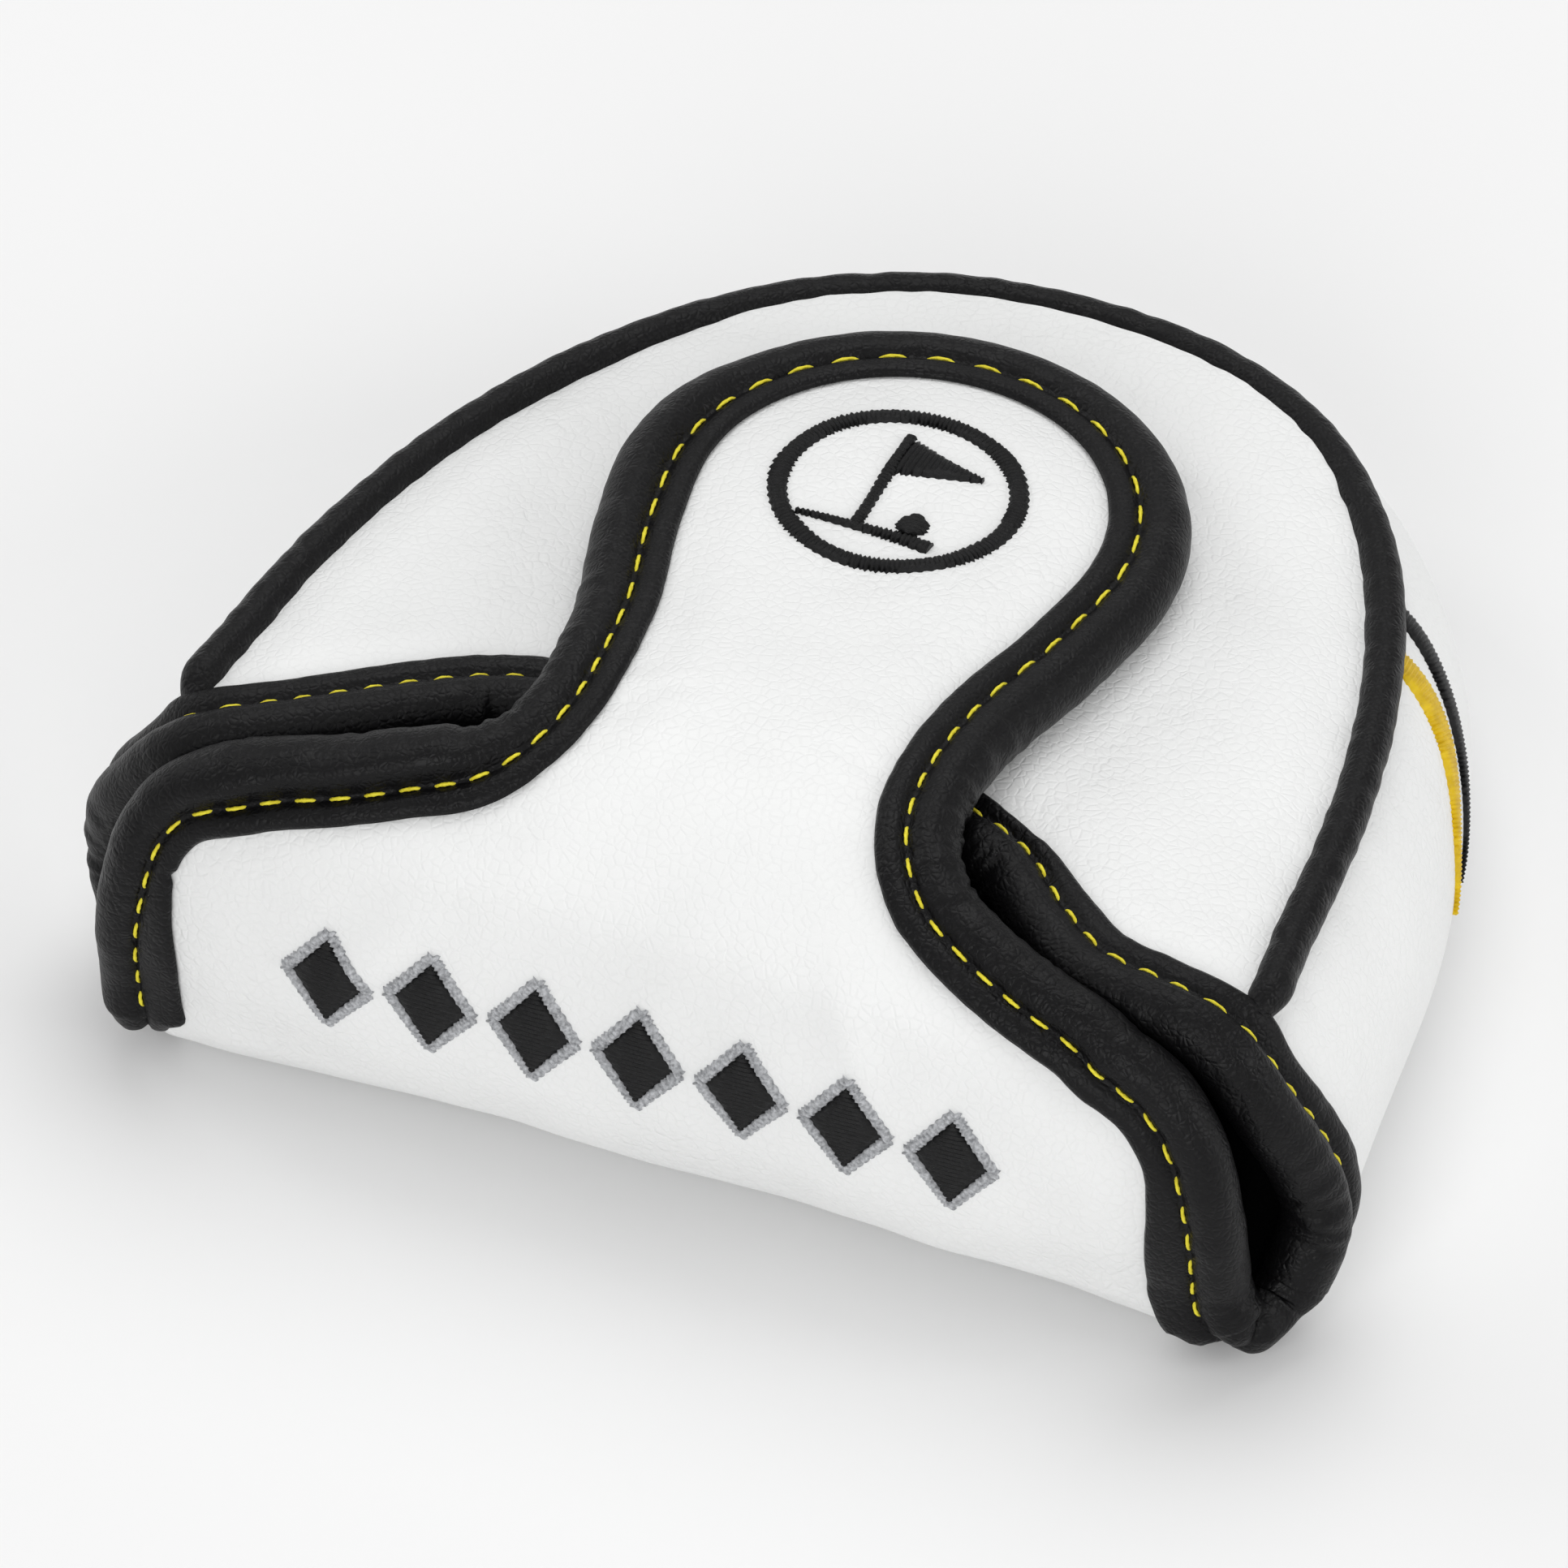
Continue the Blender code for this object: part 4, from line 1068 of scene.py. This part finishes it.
def make_mouth():
    path = mouth_path()
    x, _, z = path[0].T
    along = path_lengths(path[0])
    from_end = np.minimum(along, along[-1] - along)
    bare = ramp(MOUTH_BARE_LENGTH - from_end, 0, 5)
    count = stitch_count(along, np.full(len(along), SHORT_PITCH))
    waved = bell(x - MOUTH_WAVE_BACK_X, MOUTH_WAVE_BACK_SPREAD)
    lips = LIP_REACH * (0.2 + 0.8 * ramp(from_end, 8, 11)) - MOUTH_WAVE_BACK * waved
    girth = 1 + 0.06 * ramp(-x, 14, 8) * ramp(x, -60, 8) + 0.30 * waved + 0.16 * ramp(x, 40, 10)
    seam = np.hypot(np.abs(x) - HALF_WIDTH, z - SEAM_FRONT_Z + 1.5)
    raised = LIP_OVER_PIPING * bell(seam, 3.4)
    obj = rolled("mouth_roll", path, count, lips, bare, girth, raised, 51)
    riding(obj, "pouch", "black_leather", "mouth_binding", "mouth_binding_cord")
    riding(stitches("mouth_stitches", path, count, 5), "pouch", "black_leather")


def stripe(*places):
    """A tapered stroke through places given as (share of the seam, share of the height, half width)."""
    rows = np.array(places) * (PLAN_LENGTH, SEAM_FRONT_Z, 1.0)
    return smooth_path(np.insert(rows, 2, 0.0, axis=1), 160)[:, [0, 1, 3]]


BLACK_STRIPE = stripe(
    (0.289, 1.0, 1.5), (0.279, 0.87, 1.6), (0.264, 0.76, 1.5),
    (0.246, 0.65, 1.3), (0.228, 0.51, 0.9), (0.210, 0.32, 0.3),
)
GOLD_STRIPE = stripe(
    (0.259, 1.0, 2.0), (0.251, 0.87, 2.2), (0.239, 0.76, 2.0),
    (0.224, 0.66, 1.6), (0.206, 0.54, 1.0), (0.188, 0.36, 0.25),
)


def make_stripes():
    wall = "pouch", gusset_cloth, gusset_lift
    embroidered("gusset_stripe_black", *wall, [BLACK_STRIPE], 0.45, BLACK_SATIN)
    embroidered("gusset_stripe_gold", *wall, [GOLD_STRIPE], 0.45, GOLD_SATIN)


def pad_outline():
    """A rounded rectangle under the tongue's round end."""
    turn = np.linspace(0, math.pi / 2, 8)
    quarter = coords(np.cos(turn), np.sin(turn)) * PAD_CORNER
    quarter = quarter + (PAD_HALF_WIDTH - PAD_CORNER, PAD_HALF_LENGTH - PAD_CORNER)
    half = np.concatenate([quarter, mirrored(quarter[::-1])])
    return np.concatenate([half, half[::-1] * (1, -1)]) + (0, TONGUE_WIDEST_Y)


def tufts(x, y):
    """A field of small tufts, as depths below their tops."""
    return -0.3 * (0.5 + 0.25 * waves(x, y, 1.6, 61) + 0.25 * waves(x, y, 0.96, 62)) ** 2


def make_pads():
    outline = pad_outline()
    lift = PLY_GAP + PAD
    loops = panel("loop_patch", top_surface, outline, 0.7, -lift, lift, LOOPS, tufts)
    riding(loops, "pouch", "hook_and_loop", "loop_pad")
    hooks = panel("hook_patch", top_surface, outline, 0.7, -2 * lift - PLY_GAP, lift, HOOKS)
    riding(hooks, "flap_tongue", "hook_and_loop", "hook_pad")


# Pieces on the flap

def make_flap():
    outline = np.concatenate([FLAP_OUTLINE[FLAP_OUTLINE[:, 1] > FLAP_FACE_START], fold_line(0.0)])
    face = panel("flap_face", flap_surface, outline, 1.0, 0.0, SHELL, WHITE, flap_lift)
    over_neck(face, "white_leather", "flap_leather", "flap_foam", "tongue_leather", "tongue_foam")
    path = flap_path()
    x, y, z = path[0].T
    along = path_lengths(path[0])
    from_end = np.minimum(along, along[-1] - along)
    count = stitch_count(along, SHORT_PITCH + (LONG_PITCH - SHORT_PITCH) * ramp(y, NECK_Y, 15))
    upright = ramp(30 - z, 0, 14)
    corner = along[np.argmin(np.linalg.norm(path[0] - LEFT_SHOULDER, axis=1))]
    lips = LIP_REACH + WALL_LIP_EXTRA * upright - 2.6 * np.clip(1 - from_end / 4, 0, 1) ** 2
    lips = lips - 0.45 * bell(along - corner, 0.6) - 0.35 * (1 - upright) * ramp(-x, 24, 10)
    girth = 1 + 0.46 * ramp(-x, 18, 10) * ramp(x, -54, 8)
    none = np.zeros(len(along))
    obj = rolled("flap_roll", path, count, lips, none, girth, none, 71)
    over_neck(
        obj, "black_leather", "flap_binding_left", "flap_binding_right", "flap_binding_cord_left",
        "flap_binding_cord_right", "tongue_binding", "tongue_binding_cord",
    )
    over_neck(stitches("flap_stitches", path, count, 1), "black_leather")


def make_linings():
    half = FLAP_OUTLINE[: len(FLAP_OUTLINE) // 2 + 1]
    upper = half[half[:, 1] > LINING_SPLIT]
    outline = np.concatenate([[(WALL_HALF_WIDTH, LINING_SPLIT)], upper])
    outline = np.concatenate([outline, mirrored(outline[-2::-1])])
    cloth = panel("upper_lining", flap_surface, outline, 2.0, LINING_DEPTH, LINING, CLOTH)
    over_neck(cloth, "lining", "tongue_lining")
    rear = seam_outline(-1.1, LINED_FROM_Y)
    floor = coords(rear[:, 0], -FOLD_LENGTH - rear[:, 1])
    sides = np.linspace(LINING_SPLIT - 0.2, -FOLD_LENGTH - 4, 26)[:, None]
    wide = WALL_HALF_WIDTH + 4.2 * ramp(-sides, 2.5, 3)
    right = np.concatenate([wide, sides], axis=1)
    outline = np.concatenate([right, floor, mirrored(right[::-1])])
    cloth = panel("lower_lining", wall_and_floor, outline, 2.0, LINING_DEPTH, LINING, CLOTH)
    bending(cloth, "pouch", "flap_front", *FOLD_BLEND, "lining", "bottom_lining", "flap_lining")


# Embroidery: a row of diamonds on the wall and a flagstick in a ring on the tongue

DIAMONDS = 7
DIAMOND_PITCH = 11.2
DIAMOND_HALF_WIDTH = 3.9
DIAMOND_HALF_HEIGHT = 5.2
DIAMOND_ROW_X = -1.5
DIAMOND_ROW_ALONG = 24.0
DIAMOND_ROW_SAG = 1.6
RIM_HALF_WIDTH = 0.62
RING_RADIUS = 12.2
RING_CENTRE = (-1.0, NECK_ALONG + 60.0 - NECK_Y)


def make_diamonds():
    fills, rims = [], []
    shares = np.linspace(-1, 1, 41)
    widths = DIAMOND_HALF_WIDTH * (1 - np.abs(shares)) + 0.12
    corners = np.array([(0, 1), (1, 0), (0, -1), (-1, 0), (0, 1)])
    corners = corners * (DIAMOND_HALF_WIDTH + 0.7, DIAMOND_HALF_HEIGHT + 0.9)
    for step in np.arange(DIAMONDS) - (DIAMONDS - 1) / 2:
        x = DIAMOND_ROW_X + step * DIAMOND_PITCH
        along = DIAMOND_ROW_ALONG - DIAMOND_ROW_SAG * (2 * step / (DIAMONDS - 1)) ** 2
        fills.append(coords(0 * shares + x, along + shares * DIAMOND_HALF_HEIGHT, widths))
        placed = corners + (x, along)
        rims += [[(*a, RIM_HALF_WIDTH), (*b, RIM_HALF_WIDTH)] for a, b in zip(placed, placed[1:])]
    wall = "flap_front", flap_surface, flap_lift
    embroidered("wall_diamonds", *wall, fills, 0.50, BLACK_SATIN)
    embroidered("wall_diamond_rims", *wall, rims, 0.36, SILVER_SATIN)


def disc(x, y, radius):
    shares = np.linspace(-1, 1, 21)
    widths = radius * np.sqrt(np.maximum(1 - shares**2, 0.01))
    return coords(0 * shares + x, y + shares * radius, widths)


def make_flagstick():
    turn = np.linspace(0, math.tau, 121)
    ring = coords(RING_RADIUS * np.cos(turn), RING_RADIUS * np.sin(turn), 0 * turn + 1.0)
    stick = [(-2.0, -7.2, 0.60), (-2.0, 8.6, 0.60)]
    pennant = [(-1.4, 5.4, 3.0), (7.2, 5.0, 0.25)]
    x = np.linspace(-8.2, 6.4, 31)
    ground = coords(x, -6.9 - 0.009 * (x + 0.9) ** 2, np.linspace(0.25, 0.95, 31))
    strokes = [ring, stick, pennant, ground, disc(3.4, -4.6, 1.7)]
    placed = [np.asarray(stroke) + (*RING_CENTRE, 0.0) for stroke in strokes]
    tongue = "flap_tongue", flap_surface, flap_lift
    embroidered("tongue_flagstick", *tongue, placed, 0.48, BLACK_SATIN)


# Studio

FLOOR_COLOUR = (0.87, 0.87, 0.87)
FLECK_COLOUR = (0.85695, 0.85695, 0.85695)
VIEW_AZIMUTH = math.radians(22.1)
VIEW_ELEVATION = math.radians(46.0)
VIEW_WIDTH = 158.4
LENS = 800.0
SENSOR = 36.0
VIEW_TARGET = (0.0, 50.0, 20.0)
VIEW_ASIDE = -8.64
VIEW_UP = -7.12
LAMP_TARGET = (0.0, 0.0, 0.02)


def make_floor():
    data = bpy.data.meshes.new("floor")
    work = bmesh.new()
    bmesh.ops.create_circle(work, cap_ends=True, segments=96, radius=6.0)
    work.to_mesh(data)
    work.free()
    made, tree, shader, place = new_material("floor_paper")
    fleck = ranged(tree, noise(tree, place, 400.0, 2.0), 0.3, 0.7, 0.995, 1.0)
    feed(tree, shader, {
        "Base Color": mixed(tree, fleck, FLECK_COLOUR, FLOOR_COLOUR),
        "Roughness": 1.0,
        "Specular IOR Level": 0.0,
    })
    data.materials.append(made)
    linked("floor", data)


def lamp(name, place, size, watts):
    data = bpy.data.lights.new(name, "AREA")
    data.shape = "DISK"
    data.size = size
    data.energy = watts
    obj = linked(name, data)
    obj.location = place
    obj.rotation_euler = (Vector(LAMP_TARGET) - Vector(place)).to_track_quat("-Z", "Y").to_euler()


def make_light():
    world = bpy.data.worlds.new("studio")
    world.use_nodes = True
    tree = world.node_tree
    feed(tree, tree.nodes["Background"], {"Color": (1.0, 1.0, 1.0, 1.0), "Strength": 0.50})
    bpy.context.scene.world = world
    lamp("lamp_over", (-0.10, 0.45, 1.00), 0.9, 4.0)
    lamp("lamp_front", (0.15, -1.05, 0.62), 0.8, 5.0)
    lamp("lamp_right", (1.00, 0.00, 0.50), 0.6, 2.9)
    lamp("lamp_left", (-0.95, 0.10, 0.65), 0.5, 1.6)


def make_camera():
    data = bpy.data.cameras.new("camera")
    data.lens = LENS
    data.sensor_width = SENSOR
    level = math.cos(VIEW_ELEVATION)
    right = Vector((math.cos(VIEW_AZIMUTH), math.sin(VIEW_AZIMUTH), 0.0))
    back = Vector((right.y * level, -right.x * level, math.sin(VIEW_ELEVATION)))
    up = back.cross(right)
    target = Vector(VIEW_TARGET) + Vector(TO_WORLD) + right * VIEW_ASIDE + up * VIEW_UP
    place = (target + back * (VIEW_WIDTH / SENSOR * LENS)) * MM
    obj = linked("camera", data)
    obj.matrix_world = Matrix.Translation(place) @ Matrix((right, up, back)).transposed().to_4x4()
    bpy.context.scene.camera = obj


make_camera()
make_floor()
make_light()
make_top()
make_gusset()
make_bottom()
make_piping()
make_mouth()
make_stripes()
make_pads()
make_flap()
make_linings()
make_diamonds()
make_flagstick()

bpy.context.scene.view_settings.view_transform = "Standard"
